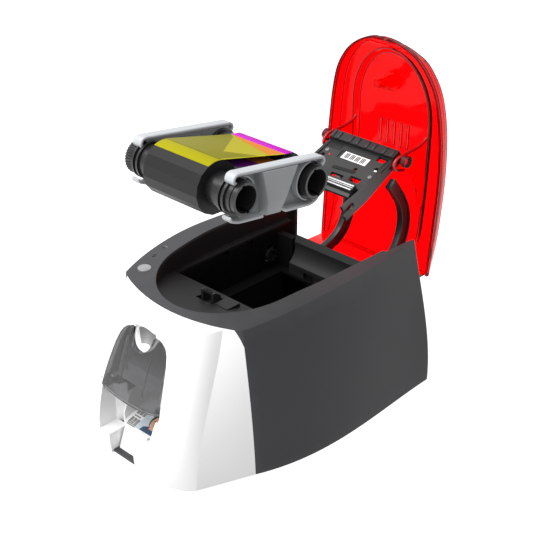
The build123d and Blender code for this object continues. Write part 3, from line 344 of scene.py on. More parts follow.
# ---------------------------------------------------------------------------
# piece helpers; points are in millimetres
# ---------------------------------------------------------------------------
def turned(place, degrees):
    """A frame at a point, turned about X."""
    return Matrix.Translation([c * MM for c in place]) @ Matrix.Rotation(math.radians(degrees), 4, "X")


ROW = Matrix.Identity(4)
SIDE = Matrix(((0, 0, 1, 0), (1, 0, 0, 0), (0, 1, 0, 0), (0, 0, 0, 1)))
FRONT = Matrix(((1, 0, 0, 0), (0, 0, -1, 0), (0, 1, 0, 0), (0, 0, 0, 1)))
CASSETTE = turned((51.7, -73.65, 266.15), -8.5)
HEAD_PIVOT = (153, 200)
HEAD = turned((0, *HEAD_PIVOT), 22.6)
CARD = turned((0, -125, 23.4), 18.66)
HINGE = (126, 90)
LID = turned((0, *HINGE), -92) @ Matrix.Translation([-c * MM for c in (0, *HINGE)])
SIDES = ((-1, "left"), (1, "right"))


def at_x(place, x):
    """The YZ plane of a frame at some x, for flat pieces seen from the side."""
    return place @ Matrix.Translation((x * MM, 0, 0)) @ SIDE


def keep(obj, place, body, finish):
    """Put a new piece in the scene in the row frame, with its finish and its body."""
    bpy.context.scene.collection.objects.link(obj)
    if obj.type == "CURVE":
        curve, name = obj.data, obj.name
        mesh = bpy.data.meshes.new_from_object(obj)
        bpy.data.objects.remove(obj)
        bpy.data.curves.remove(curve)
        mesh.set_sharp_from_angle(angle=math.radians(40))
        obj = bpy.data.objects.new(name, mesh)
        bpy.context.scene.collection.objects.link(obj)
    obj.data.transform(place)
    obj.data.materials.clear()
    obj.data.materials.append(FINISHES[finish])
    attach(obj, body)
    return obj


def mesh_piece(name, points, faces, place, body, finish, sharp=35.0):
    """A mesh piece, smooth but for its sharp edges."""
    mesh = bpy.data.meshes.new(name)
    mesh.from_pydata([[c * MM for c in p] for p in points], [], faces)
    return keep(smoothed(name, mesh, sharp), place, body, finish)


def smoothed(name, mesh, sharp):
    """An object of a cleaned mesh with smooth faces and sharp edges."""
    clean = bmesh.new()
    clean.from_mesh(mesh)
    bmesh.ops.recalc_face_normals(clean, faces=clean.faces)
    clean.to_mesh(mesh)
    clean.free()
    mesh.polygons.foreach_set("use_smooth", [True] * len(mesh.polygons))
    mesh.set_sharp_from_angle(angle=math.radians(sharp))
    return bpy.data.objects.new(name, mesh)


def cubes(boxes):
    """Blocks as one mesh in the making. Each is (x0, x1, y0, y1, z0, z1)."""
    form = bmesh.new()
    for x0, x1, y0, y1, z0, z1 in boxes:
        for v in bmesh.ops.create_cube(form, size=1.0)["verts"]:
            v.co = Vector(((x0 + x1) / 2 + v.co.x * (x1 - x0), (y0 + y1) / 2 + v.co.y * (y1 - y0),
                           (z0 + z1) / 2 + v.co.z * (z1 - z0))) * MM
    return form


def block_piece(name, boxes, edge, place, body, finish):
    """Blocks with rounded edges, in one piece."""
    form = cubes(boxes)
    bmesh.ops.bevel(form, geom=form.edges[:], offset=edge * MM, segments=2, affect="EDGES", profile=0.5)
    mesh = bpy.data.meshes.new(name)
    form.to_mesh(mesh)
    form.free()
    return keep(smoothed(name, mesh, 40), place, body, finish)


def turned_piece(name, profile, spots, place, body, finish, steps=32):
    """Round pieces at several spots: (radius, height) points spun about Z."""
    points, faces = [], []
    for sx, sy, sz in spots:
        first = len(points)
        for radius, height in profile:
            for k in range(steps):
                a = 2 * math.pi * k / steps
                points.append((sx + radius * math.cos(a), sy + radius * math.sin(a), sz + height))
        for j in range(len(profile) - 1):
            for k in range(steps):
                a, b = first + j * steps + k, first + j * steps + (k + 1) % steps
                faces.append((a, b, b + steps, a + steps))
        faces.append(tuple(first + k for k in range(steps)))
        last = first + (len(profile) - 1) * steps
        faces.append(tuple(last + k for k in range(steps)))
    return mesh_piece(name, points, faces, place, body, finish)


def curve_data(name, lines, flat, closed):
    """A curve through lines of points."""
    curve = bpy.data.curves.new(name, "CURVE")
    curve.dimensions = "2D" if flat else "3D"
    for line in lines:
        spline = curve.splines.new("POLY")
        spline.points.add(len(line) - 1)
        for point, place in zip(spline.points, line):
            place = tuple(place) + (0,) * (3 - len(place))
            point.co = (place[0] * MM, place[1] * MM, place[2] * MM, 1)
        spline.use_cyclic_u = closed
        spline.use_smooth = not flat
    return curve


def flat_piece(name, outlines, thick, edge, place, body, finish):
    """A flat piece with rounded edges; an outline inside another is a hole."""
    curve = curve_data(name, outlines, True, True)
    curve.fill_mode = "BOTH"
    curve.extrude = (thick / 2 - edge) * MM
    curve.bevel_depth, curve.bevel_resolution, curve.offset = edge * MM, 2, -edge * MM
    return keep(bpy.data.objects.new(name, curve), place, body, finish)


def bead_piece(name, lines, radius, place, body, finish, closed=False):
    """Round beads, wires or pins along lines of points."""
    curve = curve_data(name, lines, False, closed)
    curve.bevel_depth, curve.bevel_resolution, curve.use_fill_caps = radius * MM, 3, True
    return keep(bpy.data.objects.new(name, curve), place, body, finish)


def circle(cy, cz, radius, steps=40, start=0.0, end=360.0):
    """Points along a circle or an arc."""
    full = end - start >= 360
    count = steps if full else steps + 1
    angles = [math.radians(start + (end - start) * k / steps) for k in range(count)]
    return [(cy + radius * math.cos(a), cz + radius * math.sin(a)) for a in angles]


def strip_outline(line, thick):
    """The outline of a strip of some thickness along a line."""
    left, right = [], []
    for k, (x, y) in enumerate(line):
        before, after = line[max(k - 1, 0)], line[min(k + 1, len(line) - 1)]
        dx, dy = after[0] - before[0], after[1] - before[1]
        size = math.hypot(dx, dy) or 1.0
        nx, ny = -dy / size * thick / 2, dx / size * thick / 2
        left.append((x + nx, y + ny))
        right.append((x - nx, y - ny))
    return left + right[::-1]


def rounded(points, radius, steps=4):
    """An open line with its inner corners rounded, always with the same count of points."""
    line = [points[0]]
    for a, b, c in zip(points, points[1:], points[2:]):
        reach = min(radius, 0.45 * math.dist(a, b), 0.45 * math.dist(b, c))
        start = [b[i] + (a[i] - b[i]) * reach / (math.dist(a, b) or 1) for i in range(2)]
        end = [b[i] + (c[i] - b[i]) * reach / (math.dist(b, c) or 1) for i in range(2)]
        for k in range(steps + 1):
            t = k / steps
            line.append(tuple((1 - t) ** 2 * start[i] + 2 * t * (1 - t) * b[i] + t * t * end[i]
                              for i in range(2)))
    line.append(points[-1])
    return line


def smooth_value(knots, values, at):
    """A smooth curve through values at knots."""
    k = max(j for j in range(len(knots) - 1) if knots[j] <= at + 1e-9)
    slopes = []
    for j in (k, k + 1):
        a, b = max(j - 1, 0), min(j + 1, len(knots) - 1)
        slopes.append((values[b] - values[a]) / (knots[b] - knots[a]))
    span = knots[k + 1] - knots[k]
    t = (at - knots[k]) / span
    return ((2 * t ** 3 - 3 * t ** 2 + 1) * values[k] + (t ** 3 - 2 * t ** 2 + t) * span * slopes[0]
            + (3 * t ** 2 - 2 * t ** 3) * values[k + 1] + (t ** 3 - t ** 2) * span * slopes[1])


# ---------------------------------------------------------------------------
# the lid
# ---------------------------------------------------------------------------
LID_NOSE, LID_TAIL = -84.2, 129.5
# y, half width, rib rise, panel rise, edge height
LID_ROWS = ((LID_NOSE, 0, 0.2, 0.4, 133.57), (-80, 22, 2.4, 2.8, 134.17),
            (-73.5, 34.3, 6.4, 7.2, 134.93), (-67, 42.2, 8, 10.8, 135.53),
            (-58, 49.4, 8.2, 12, 136.37), (-44, 56.9, 8.4, 12.4, 137.68),
            (-24, 61.9, 8.6, 13, 139.2), (4, 65.4, 8.8, 13.5, 140.6),
            (40, 67.1, 8.8, 13.5, 140.5), (84, 66.4, 8.4, 12.5, 139.0),
            (110, 65.9, 6.5, 9.5, 137.8), (LID_TAIL, 65.5, 3.0, 4.5, 136.83))
# half width, y of the nose, and how far back it is full
RIB_ARCH = (46.0, -72.5, 62.0)
PANEL_ARCH = (41.5, -68.0, 58.0)
FOOT, SHOULDER, CREST, RIB, PANEL = range(5)
VENT_PITCH, VENT_COUNT, VENT_LEFT = 8, 5, -15.6
VENT_WIDE, VENT_FRONT, VENT_BACK = 1.6, -0.8, 22
VENT_RIM = 0.3
# the most of the half width that the rib takes, of the rib that the panel takes, and how far in
# from the edge the crest stands
RIB_SHARE, PANEL_SHARE, CREST_SHARE = 0.86, 0.93, 0.14
CREST_RISE, SKIN_DROP, FOOT_DEPTH, CORNER = 1.12, 0.1, 4.0, 1.6


def lid_row(y):
    """The lid's half width, rises and edge height at one place along it."""
    knots = [math.sqrt(row[0] - LID_NOSE) for row in LID_ROWS]
    at = math.sqrt(max(y - LID_NOSE, 0.0))
    return [smooth_value(knots, [row[k] for row in LID_ROWS], at) for k in range(1, 5)]


def arch_width(y, half, nose, reach):
    """The half width of a round arch whose nose is at one y and that is full reach further on."""
    back = max(0.0, min(1.0, (y - nose) / reach))
    return half * math.sqrt(1 - (1 - back) ** 2)


def lid_line(y, inset, drop):
    """Half of the lid's section from its foot up to its panel, moved in and down."""
    half, rise, peak, edge = lid_row(y)
    rib, panel = arch_width(y, *RIB_ARCH), arch_width(y, *PANEL_ARCH)
    rib = min(rib, half * RIB_SHARE)
    panel = min(panel, rib * PANEL_SHARE)
    crest = half - (half - rib) * CREST_SHARE
    top = edge - drop - SKIN_DROP
    wide = max(half - inset, 0.6)
    return [(wide, edge - FOOT_DEPTH), (wide, top), (max(crest - inset, 0.5), top + rise * CREST_RISE),
            (max(rib - inset / 2, 0.4), top + rise), (max(panel - inset / 2, 0.3), top + peak)]


def lid_section(y, inset, drop):
    """The whole section as rounded points from the left foot to the right foot."""
    right = lid_line(y, inset, drop)
    left = [(-x, z) for x, z in right]
    return rounded(left + right[::-1], CORNER)


def lid_mesh(wall, rows):
    """The lid's closed shell as points and faces, with its rows closer together at the nose."""
    points, faces = [], []
    start, span = 0.35, math.sqrt(LID_TAIL - LID_NOSE)
    for k in range(rows + 1):
        s = start + (span - start) * k / rows
        y = LID_NOSE + s * s
        inner_y = y + wall * max(0.0, 1 - s / 3)
        outer, inner = lid_section(y, 0, 0), lid_section(y, wall, wall)
        points += [(x, y, z) for x, z in outer] + [(x, inner_y, z) for x, z in reversed(inner)]
    ring = len(points) // (rows + 1)
    for k in range(rows):
        for j in range(ring):
            a, b = k * ring + j, k * ring + (j + 1) % ring
            faces.append((a, b, b + ring, a + ring))
    for first in (0, rows * ring):
        for j in range(ring // 2 - 1):
            faces.append((first + j, first + j + 1, first + ring - 2 - j, first + ring - 1 - j))
    return points, faces


def cut_away(obj, boxes, place):
    """Cut blocks out of a piece."""
    form = cubes(boxes)
    mesh = bpy.data.meshes.new("cutter")
    form.to_mesh(mesh)
    form.free()
    mesh.transform(place)
    cutter = bpy.data.objects.new("cutter", mesh)
    bpy.context.scene.collection.objects.link(cutter)
    bpy.context.view_layer.update()
    change = obj.modifiers.new("cut", "BOOLEAN")
    change.operation, change.object, change.solver = "DIFFERENCE", cutter, "EXACT"
    graph = bpy.context.evaluated_depsgraph_get()
    done = bpy.data.meshes.new_from_object(obj.evaluated_get(graph))
    obj.modifiers.clear()
    old, obj.data = obj.data, done
    bpy.data.meshes.remove(old)
    bpy.data.objects.remove(cutter)
    done.set_sharp_from_angle(angle=math.radians(35))


def lid_run(y0, y1, which, inset, drop, count=40, side=1):
    """A line along the lid at one corner of its section."""
    s0, s1 = math.sqrt(y0 - LID_NOSE), math.sqrt(y1 - LID_NOSE)
    line = []
    for k in range(count + 1):
        y = LID_NOSE + (s0 + (s1 - s0) * k / count) ** 2
        x, z = lid_line(y, inset, drop)[which]
        line.append((side * x, y, z))
    return line


def lid_arch(y_end, which, inset, drop, y_start):
    """A line up one side of the lid, round its nose and down the other side."""
    left = lid_run(y_start, y_end, which, inset, drop, side=-1)
    right = lid_run(y_start, y_end, which, inset, drop)
    return left[::-1] + right


# ---------------------------------------------------------------------------
# settings
# ---------------------------------------------------------------------------
class LidSettings(bpy.types.PropertyGroup):
    """The red lid."""
    wall: bpy.props.FloatProperty(
        name="Wall", description="Wall thickness in millimetres", default=2.2)
    color: bpy.props.FloatVectorProperty(
        name="Colour", description="Colour of the clear plastic", subtype="COLOR", size=3,
        default=(0.9, 0.001, 0.002))
    # the dark edge beads are painted shade along the lid's edges
    bead: bpy.props.FloatProperty(
        name="Bead", description="Radius of the dark edge beads in millimetres", default=0.55)


class FilmSettings(bpy.types.PropertyGroup):
    """The ribbon film and its rolls."""
    yellow: bpy.props.FloatVectorProperty(
        name="Yellow", description="Colour of the yellow panel", subtype="COLOR", size=3,
        default=(0.68, 0.62, 0.02))
    magenta: bpy.props.FloatVectorProperty(
        name="Magenta", description="Colour of the magenta panel", subtype="COLOR", size=3,
        default=(0.6, 0.008, 0.56))
    facets: bpy.props.IntProperty(
        name="Facets", description="Flat bands round the full roll", default=15)


class CassetteSettings(bpy.types.PropertyGroup):
    """The cassette's side plates."""
    color: bpy.props.FloatVectorProperty(
        name="Colour", description="Colour of the side plates", subtype="COLOR", size=3,
        default=(0.26, 0.27, 0.28))
    lip: bpy.props.FloatProperty(
        name="Lip", description="Thickness of the rolled lips in millimetres", default=2.6)


class StageSettings(bpy.types.PropertyGroup):
    """Light and floor."""
    key_power: bpy.props.FloatProperty(
        name="Key power", description="Power of the large soft lamp", default=43.0, unit="POWER")
    fill_power: bpy.props.FloatProperty(
        name="Fill power", description="Power of the fill lamp", default=14.0, unit="POWER")
    world_level: bpy.props.FloatProperty(
        name="World level", description="Strength of the even light all round", default=0.6)


# ---------------------------------------------------------------------------
# operators
# ---------------------------------------------------------------------------
class PRINTER_OT_finishes(bpy.types.Operator):
    """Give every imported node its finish"""
    bl_idname = "printer.finishes"
    bl_label = "Finishes"

    def execute(self, context):
        make_finishes(context.scene)
        for finish, nodes in NODE_FINISHES.items():
            for name in nodes:
                finish_node(name, finish)
        return {"FINISHED"}


# side outline of an ear, in y and z
EAR_OUTLINE = ((187.5, 211), (182, 207.2), (172, 205.2), (158, 204.8), (147, 203.8), (142, 200.5),
               (141.6, 195.5), (146.5, 191.8), (156, 189.5), (168, 181), (176, 165), (181, 146),
               (187.5, 140))
EAR_X, EAR_THICK, EAR_BORE = 41.5, 3, 2.7
FOLD_POINTS = 9
COIL_RADIUS, COIL_POINTS = 5.2, 78


class PRINTER_OT_lid(bpy.types.Operator):
    """Make the finer lid with its vents, skirt and knuckles, and dark edge beads that are painted shade"""
    bl_idname = "printer.lid"
    bl_label = "Lid"

    def execute(self, context):
        settings = context.scene.printer_lid
        wall, bead = settings.wall, settings.bead
        points, faces = lid_mesh(wall, 64)
        shell = mesh_piece("lid_cover", points, faces, LID, "lid", "red", 28)
        vents = [VENT_LEFT + VENT_PITCH * k for k in range(VENT_COUNT)]
        cut_away(shell, [(x, x + VENT_WIDE, VENT_FRONT, VENT_BACK, 140, 170) for x in vents], LID)
        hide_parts("lid_shell")
        skirt = [(-62.4, 62.4, 127, 129.4, 97.2, 136), (-46, 46, 127, 129.4, 130, 138.4)]
        block_piece("lid_skirt", skirt, 0.6, LID, "lid", "red")
        for side, name in SIDES:
            flat_piece("lid_knuckle_" + name, [circle(*HINGE, 6, 32), circle(*HINGE, 2.6, 24)], 8, 0.5,
                       at_x(LID, side * 54), "lid", "red")
        self.beads(wall, bead)
        for side, name in SIDES:
            self.ear(side, name)
        frames = []
        for x in vents:
            x0, x1 = x - VENT_RIM, x + VENT_WIDE + VENT_RIM
            y0, y1, z = VENT_FRONT - VENT_RIM, VENT_BACK + VENT_RIM, 151.5
            frames.append([(x0, y0, z), (x1, y0, z), (x1, y1, z), (x0, y1, z)])
        # the dark beads round the vents are painted shade at the vent edges
        bead_piece("lid_vent_beads", frames, bead * 0.9, LID, "lid", "dark_red", closed=True)
        return {"FINISHED"}

    def beads(self, wall, bead):
        """The dark lines along the rim, the shoulder, the crest and inside the panel: painted shade where
        the clear red plastic turns dark at its edges.
        """
        rim = [(x, y, z + bead) for x, y, z in lid_arch(128, FOOT, bead, 0, -83.0)]
        shoulder = lid_arch(128, SHOULDER, bead * 1.3, bead, -82.8)
        crest = lid_arch(127, CREST, bead * 0.5, bead * 0.9, -80)
        band = lid_arch(118, CREST, wall, wall + 0.4, -78)
        rib = lid_arch(104, RIB, wall, wall + 0.6, -72.4)
        panel = lid_arch(104, PANEL, wall, wall + 0.5, -67.9)
        for part, line, size, finish in (
                ("rim", rim, 1, "dark_red"), ("shoulder", shoulder, 1.3, "dark_red"),
                ("crest", crest, 1, "dark_red"), ("band", band, 0.75, "deep_red"),
                ("rib", rib, 1, "dark_red"), ("panel", panel, 0.8, "dark_red")):
            bead_piece("lid_%s_bead" % part, [line], bead * size, LID, "lid", finish)

    def ear(self, side, name):
        """A rounded ear that holds the head, its folded edge and its spring."""
        y, z = HEAD_PIVOT
        ear = flat_piece("head_ear_round_" + name, [rounded(EAR_OUTLINE, 4), circle(y, z, EAR_BORE, 24)],
                         EAR_THICK, 0.9, at_x(ROW, side * EAR_X), "lid", "red")
        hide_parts("head_ear_" + name)
        fold = [(side * EAR_X, *p) for p in rounded(EAR_OUTLINE[:FOLD_POINTS], 4)]
        bead_piece("head_ear_fold_" + name, [fold], 1.5, ROW, "lid", "solid_red")
        coil = [(side * (43.8 + 0.07 * k), y + COIL_RADIUS * math.cos(k * 0.45),
                 z + COIL_RADIUS * math.sin(k * 0.45)) for k in range(COIL_POINTS)]
        bead_piece("head_spring_" + name, [coil], 0.45, ROW, "lid", "dark_red")


def sheet_between(y0, z0, y1, z1, thick, sag, count=12):
    """A thin sheet's side outline between two points, sagging a little."""
    top, low = [], []
    for k in range(count + 1):
        t = k / count
        y, z = y0 + (y1 - y0) * t, z0 + (z1 - z0) * t - sag * 4 * t * (1 - t)
        top.append((y, z + thick / 2))
        low.append((y, z - thick / 2))
    return top + low[::-1]


# the cassette's frame: y along the film, z up
SPOOL_REACH = 37.35
FILM_WIDTH, FILM_THICK = 57.0, 0.16
FILM_START, FILM_END = (-36.5, 20.75), (31.5, 14.7)
ROLL_RADIUS, TAKEUP_RADIUS, CORE_RADIUS = 20.5, 15.0, 12.4


class PRINTER_OT_film(bpy.types.Operator):
    """Make the coloured ribbon panels and the rolls"""
    bl_idname = "printer.film"
    bl_label = "Film and rolls"

    def execute(self, context):
        middle = at_x(CASSETTE, 0)
        for name, y0, z0, y1, z1, sag, finish in (
                ("yellow", *FILM_START, *FILM_END, 0.0, "yellow"),
                ("magenta", 31.4, 14.8, 40.5, 14.9, 0, "magenta"),
                ("lower", -19.5, 12.6, 4, 11.2, 0.2, "purple"),
                ("orange", 4.1, 11.2, 25.6, 9.6, 0.2, "orange")):
            upper = flat_piece("film_%s_panel" % name, [sheet_between(y0, z0, y1, z1, FILM_THICK, sag)],
                               FILM_WIDTH, 0.02, middle, "base", finish)
            if name == "yellow":
                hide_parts("ribbon_film")
        self.zone("lit", [(-20.6, 25.5), (-28.3, 31), (28.3, 31), (28.3, 3), (11.3, -17.1)], 0.1, 0.2)
        self.zone("orange", [(-27, 31), (28.3, 31), (28.3, 14), (-8, 24)], 0.22, 0.3)
        (y0, z0), (y1, z1) = FILM_START, FILM_END
        flat_piece("film_edge_line", [sheet_between(y0, z0 + 0.05, y1, z1 + 0.05, 0.5, 0)], 0.5, 0.1,
                   at_x(CASSETTE, 28.4), "base", "bright_yellow")
        for name, y, radius, sides in (
                ("supply", -SPOOL_REACH, ROLL_RADIUS, context.scene.printer_film.facets),
                ("takeup", SPOOL_REACH, TAKEUP_RADIUS, 24)):
            node = name + "_roll"
            wound = flat_piece(name + "_wound", [circle(y, 0, radius, sides), circle(y, 0, CORE_RADIUS, 32)],
                               56.8, 0.25, middle, name, "wound")
            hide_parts(node)
            wound.data.set_sharp_from_angle(angle=math.radians(8))
        band = circle(-SPOOL_REACH, 0, 20.62, 8, 88, 122) + circle(-SPOOL_REACH, 0, 20.3, 8, 88, 122)[::-1]
        flat_piece("film_roll_band", [band], FILM_WIDTH, 0.03, middle, "base", "band")
        return {"FINISHED"}

    def zone(self, name, corners, low, high):
        """A thin coloured zone that lies on the upper film."""
        count = len(corners)
        (y0, z0), (y1, z1) = FILM_START, FILM_END
        points = [(x, y, z0 - (z0 - z1) * (y - y0) / (y1 - y0) + lift)
                  for lift in (low, high) for x, y in corners]
        faces = [tuple(range(count)), tuple(range(2 * count - 1, count - 1, -1))]
        faces += [(k, (k + 1) % count, count + (k + 1) % count, count + k) for k in range(count)]
        mesh_piece("film_%s_zone" % name, points, faces, CASSETTE, "base", name)


def plate_outline(radius):
    """A side plate's outline, whose two ends are bites round the spools."""
    front, back = -42.2, 44.6
    right = [p for p in circle(SPOOL_REACH, 0, radius, 48, -180, 180) if p[0] < back]
    left = [p for p in circle(-SPOOL_REACH, 0, radius, 48, 0, 360) if p[0] > front]
    right = sorted(right, key=lambda p: -math.atan2(p[1], SPOOL_REACH - p[0]))
    left = sorted(left, key=lambda p: math.atan2(p[1], p[0] + SPOOL_REACH))
    return [(front, 17.0), (back, 17.0)] + right + [(back, -16.4), (39, -18.8), (-38, -18.8),
                                                    (front, -17)] + left


TOP_LIP = ((-43.5, 10.6), (-45.6, 11.2), (-46.6, 13.4), (-45.4, 16.4), (-42.6, 17.3), (45, 17.3),
           (47.6, 16.2), (48.6, 13.6), (47.8, 11.6), (45.6, 11))
LOW_LIPS = (((-46.4, -14.2), (-44.6, -17), (-38, -18.8), (-12, -18.9)),
            ((12, -18.9), (39, -18.8), (45, -16.4), (47.4, -13)))
PLATE_WINDOW = ((-13, 2), (13, 2), (17, 13.6), (-17, 13.6))


class PRINTER_OT_cassette(bpy.types.Operator):
    """Make the cassette's side plates with rolled lips, saddles and the wedge"""
    bl_idname = "printer.cassette"
    bl_label = "Cassette plates"

    def execute(self, context):
        lip = context.scene.printer_cassette.lip
        for side, name in SIDES:
            node = "cassette_plate_" + name
            outlines = [plate_outline(14.4)] + ([PLATE_WINDOW] if side < 0 else [])
            web = flat_piece("plate_web_" + name, outlines, 1.8, 0.4, at_x(CASSETTE, side * 45), "base",
                             "web")
            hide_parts(node)
            self.strip("top_lip_" + name, rounded(TOP_LIP, 3), lip, 9.4, 1.0, side * 48.3)
            for k, line in enumerate(LOW_LIPS):
                self.strip("low_lip_%s_%d" % (name, k + 1), rounded(line, 3), lip * 0.8, 8.4, 0.8,
                           side * 48.4)
            for y, tag, start in ((-SPOOL_REACH, "supply", -82), (SPOOL_REACH, "takeup", 98)):
                arc = circle(y, 0, 15.0, 24, start, start + 164)
                self.strip("saddle_%s_%s" % (tag, name), arc, 1.1, 7, 0.4, side * 47.6)
            self.wedge(side, name)
        return {"FINISHED"}

    def strip(self, name, line, thick, wide, edge, x):
        """A pale strip along a line in the plate's plane; its pale grey is a painted highlight."""
        flat_piece("plate_" + name, [strip_outline(line, thick)], wide, edge, at_x(CASSETTE, x), "base",
                   "pale_grey")

    def wedge(self, side, name):
        """The wedge that a hand holds the cassette by."""
        x0, x1 = side * 45.5, side * 53.6
        front = [(-18.5, 15.8), (18.5, 15.8), (9.5, -8), (7.5, -19.4), (-7.5, -19.4), (-9.5, -8)]
        back = [(-20.5, 16.2), (20.5, 16.2), (12, -8), (9.5, -20), (-9.5, -20), (-12, -8)]
        count, toe = len(back), x1 - side * 2.4
        points = [(x0, y, z) for y, z in back]
        points += [(toe if z < -19 else x1, y, z) for y, z in front]
        faces = [(k, (k + 1) % count, count + (k + 1) % count, count + k) for k in range(count)]
        faces += [tuple(range(count - 1, -1, -1)), (6, 7, 8, 11), (11, 8, 9, 10)]
        obj = mesh_piece("plate_wedge_" + name, points, faces, CASSETTE, "base", "grey", 60)
        soften(obj, 0.7)


def soften(obj, edge):
    """Round the edges of a mesh piece."""
    form = bmesh.new()
    form.from_mesh(obj.data)
    bmesh.ops.bevel(form, geom=[e for e in form.edges if e.calc_face_angle(0) > 0.2], offset=edge * MM,
                    segments=3, affect="EDGES", profile=0.5)
    form.to_mesh(obj.data)
    form.free()
    obj.data.polygons.foreach_set("use_smooth", [True] * len(obj.data.polygons))
    obj.data.set_sharp_from_angle(angle=math.radians(30))


BAR_WIDTHS, BAR_GAP = (0.5, 0.9, 0.4, 0.7, 0.4), 0.45


def bar_groups(x0, y0, x1, y1, groups, gap):
    """Thin bars in groups, as x and y ranges."""
    bars = []
    step = (x1 - x0 + gap) / groups
    unit = (step - gap) / (sum(BAR_WIDTHS) + BAR_GAP * (len(BAR_WIDTHS) - 1))
    for group in range(groups):
        x = x0 + group * step
        for wide in BAR_WIDTHS:
            bars.append((x, x + wide * unit, y0, y1))
            x += (wide + BAR_GAP) * unit
    return bars


HEAD_FACE = 3
SCREW = ((1.9, 0), (1.9, 0.7), (1.5, 1.0), (0.7, 1.0), (0.6, 0.5))
ARM_LINE = ((127, 89), (146, 93.5), (160, 102), (168.5, 117), (171.5, 135), (167, 152), (157, 166),
            (149, 176))
ARM_X = 33


class PRINTER_OT_head(bpy.types.Operator):
    """Add the head's label, strips, pockets and screws"""
    bl_idname = "printer.head"
    bl_label = "Head details"

    def execute(self, context):
        label = block_piece("head_paper_label", [(-11.4, 17.4, -23.0, -14.1, 2.9, 3.15)], 0.05, HEAD,
                            "head", "paper")
        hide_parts("head_label")
        bars = [(x + g * 6, x + g * 6 + 0.75, -21.6, -15.5, 3.1, 3.5)
                for g in range(4) for x in (-8.2, -6.6, -5.0)]
        block_piece("head_label_bars", bars, 0.02, HEAD, "head", "ink")
        strips = [(-29.5, 29.5, y, y + wide, 7.3, 8.3)
                  for y, wide in ((-57.3, 1.4), (-54.4, 0.7), (-52.6, 1.5))]
        block_piece("head_bright_strips", strips, 0.15, HEAD, "head", "silver")
        screws = [(31.3, -33.0, HEAD_FACE), (-29.5, -19.5, HEAD_FACE), (34.8, -41.5, HEAD_FACE)]
        turned_piece("head_screws", SCREW, screws, HEAD, "head", "ring", 24)
        slot = strip_outline([(-10.4, -35.4), (14.6, -33.4)], 3.4)
        flat_piece("head_slot_rim", [rounded(slot + [slot[0]], 1.4)[:-1]], 0.7, 0.2,
                   HEAD @ Matrix.Translation((0, 0, 0.0032)), "head", "black")
        block_piece("head_pockets", [(-34, -18.5, -15.5, -7, 2.8, 3.3), (31.5, 40, -23.5, -9, 2.8, 3.3)],
                    0.2, HEAD, "head", "black")
        ribs = [(x, x + 2.2, -5.5, 2.6, 5.5, 7.4) for x in (-36, -29, -15, -7, 4, 12, 24, 33)]
        block_piece("head_top_ribs", ribs, 0.4, HEAD, "head", "head")
        turned_piece("head_red_spot", [(1.0, 0), (1.0, 0.5), (0.6, 0.7)], [(-23.7, -23.6, HEAD_FACE)],
                     HEAD, "head", "red_paint", 20)
        block_piece("head_white_chip", [(29.8, 33, -25.6, -23.9, 3.2, 4.0)], 0.3, HEAD, "head", "paper")
        for side, name in SIDES:
            self.arm(side, name)
        return {"FINISHED"}

    def arm(self, side, name):
        """A slim curved arm from the hinge pin to the lid, at the lid's open place."""
        outline = strip_outline(rounded(ARM_LINE, 9), 10.5)
        arm = flat_piece("head_arm_slim_" + name, [outline], 6.6, 0.8, at_x(ROW, side * ARM_X), "lid",
                         "head")
        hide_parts("head_arm_" + name)
        rib = strip_outline(rounded([(y + 4.4, z - 1.5) for y, z in ARM_LINE[1:-1]], 8), 2.0)
        flat_piece("head_arm_rib_" + name, [rib], 9.0, 0.5, at_x(ROW, side * ARM_X), "lid", "black")
        flat_piece("head_arm_boss_" + name, [circle(*HINGE, 6, 32), circle(*HINGE, 2.6, 24)], 8.0, 0.5,
                   at_x(LID, side * ARM_X), "lid", "head")


def oval(wide, tall, x, y, radius, steps):
    """A circle stretched to an oval and moved to a place."""
    return [(p[0] * wide + x, p[1] * tall + y) for p in circle(0, 0, radius, steps)]


class PRINTER_OT_card(bpy.types.Operator):
    """Print the card: text lines, bar blocks and a plain portrait"""
    bl_idname = "printer.card"
    bl_label = "Printed card"

    def execute(self, context):
        z0, z1 = 0.76, 0.86
        marks = [(-24 + 1.9 * k, -22.6 + 1.9 * k, 12, 13.2, z0, z1) for k in range(4)]
        marks += [(-24, -14, 2.2 + 1.4 * k, 2.9 + 1.4 * k, z0, z1) for k in range(2)]
        for y0, y1 in ((4.6, 10.6), (14.8, 21.5)):
            marks += [(*bar, z0, z1) for bar in bar_groups(-24.5, y0, -14.5, y1, 3, 0.8)]
        block_piece("card_marks", marks, 0.02, CARD, "base", "ink")
        face = 0.8
        ground = [(-14, 3), (12, 3), (12, 30), (-14, 30)]
        flat_piece("card_picture", [ground], 0.1, 0.02, CARD @ Matrix.Translation((0, 0, face * MM)),
                   "base", "picture")
        layers = (("shoulders", [(-9, 3.2), (10, 3.2), (9, 7.5), (4, 9.8), (-3, 9.8), (-8, 7.5)], "cloth"),
                  ("hair", oval(0.92, 1.1, 0.5, 17.4, 8, 28), "hair"),
                  ("neck", [(-2, 7.6), (3, 7.6), (2.8, 12), (-1.8, 12)], "skin"),
                  ("face", oval(0.78, 1, 0.5, 15.6, 7, 28), "skin"),
                  ("eye_left", oval(1, 0.7, -1.9, 16.6, 0.8, 12), "hair"),
                  ("eye_right", oval(1, 0.7, 2.9, 16.6, 0.8, 12), "hair"),
                  ("mouth", oval(1.9, 0.5, 0.5, 12.2, 0.9, 12), "lips"))
        for k, (name, outline, finish) in enumerate(layers):
            lift = CARD @ Matrix.Translation((0, 0, face * MM + (k + 1) * 0.05 * MM))
            flat_piece("card_" + name, [outline], 0.09, 0.02, lift, "base", finish)
        return {"FINISHED"}


def lowest_line(node, x0, x1, steps):
    """The lower front edge of a CAD node, as points in millimetres from left to right."""
    places = [v.co / MM for v in bpy.data.objects[node].data.vertices]
    line = []
    for k in range(steps):
        a, b = x0 + (x1 - x0) * k / steps, x0 + (x1 - x0) * (k + 1) / steps
        near = [p for p in places if a <= p.x < b]
        if near:
            low = min(near, key=lambda p: p.z + p.y * 0.4)
            line.append(tuple(low))
    return line

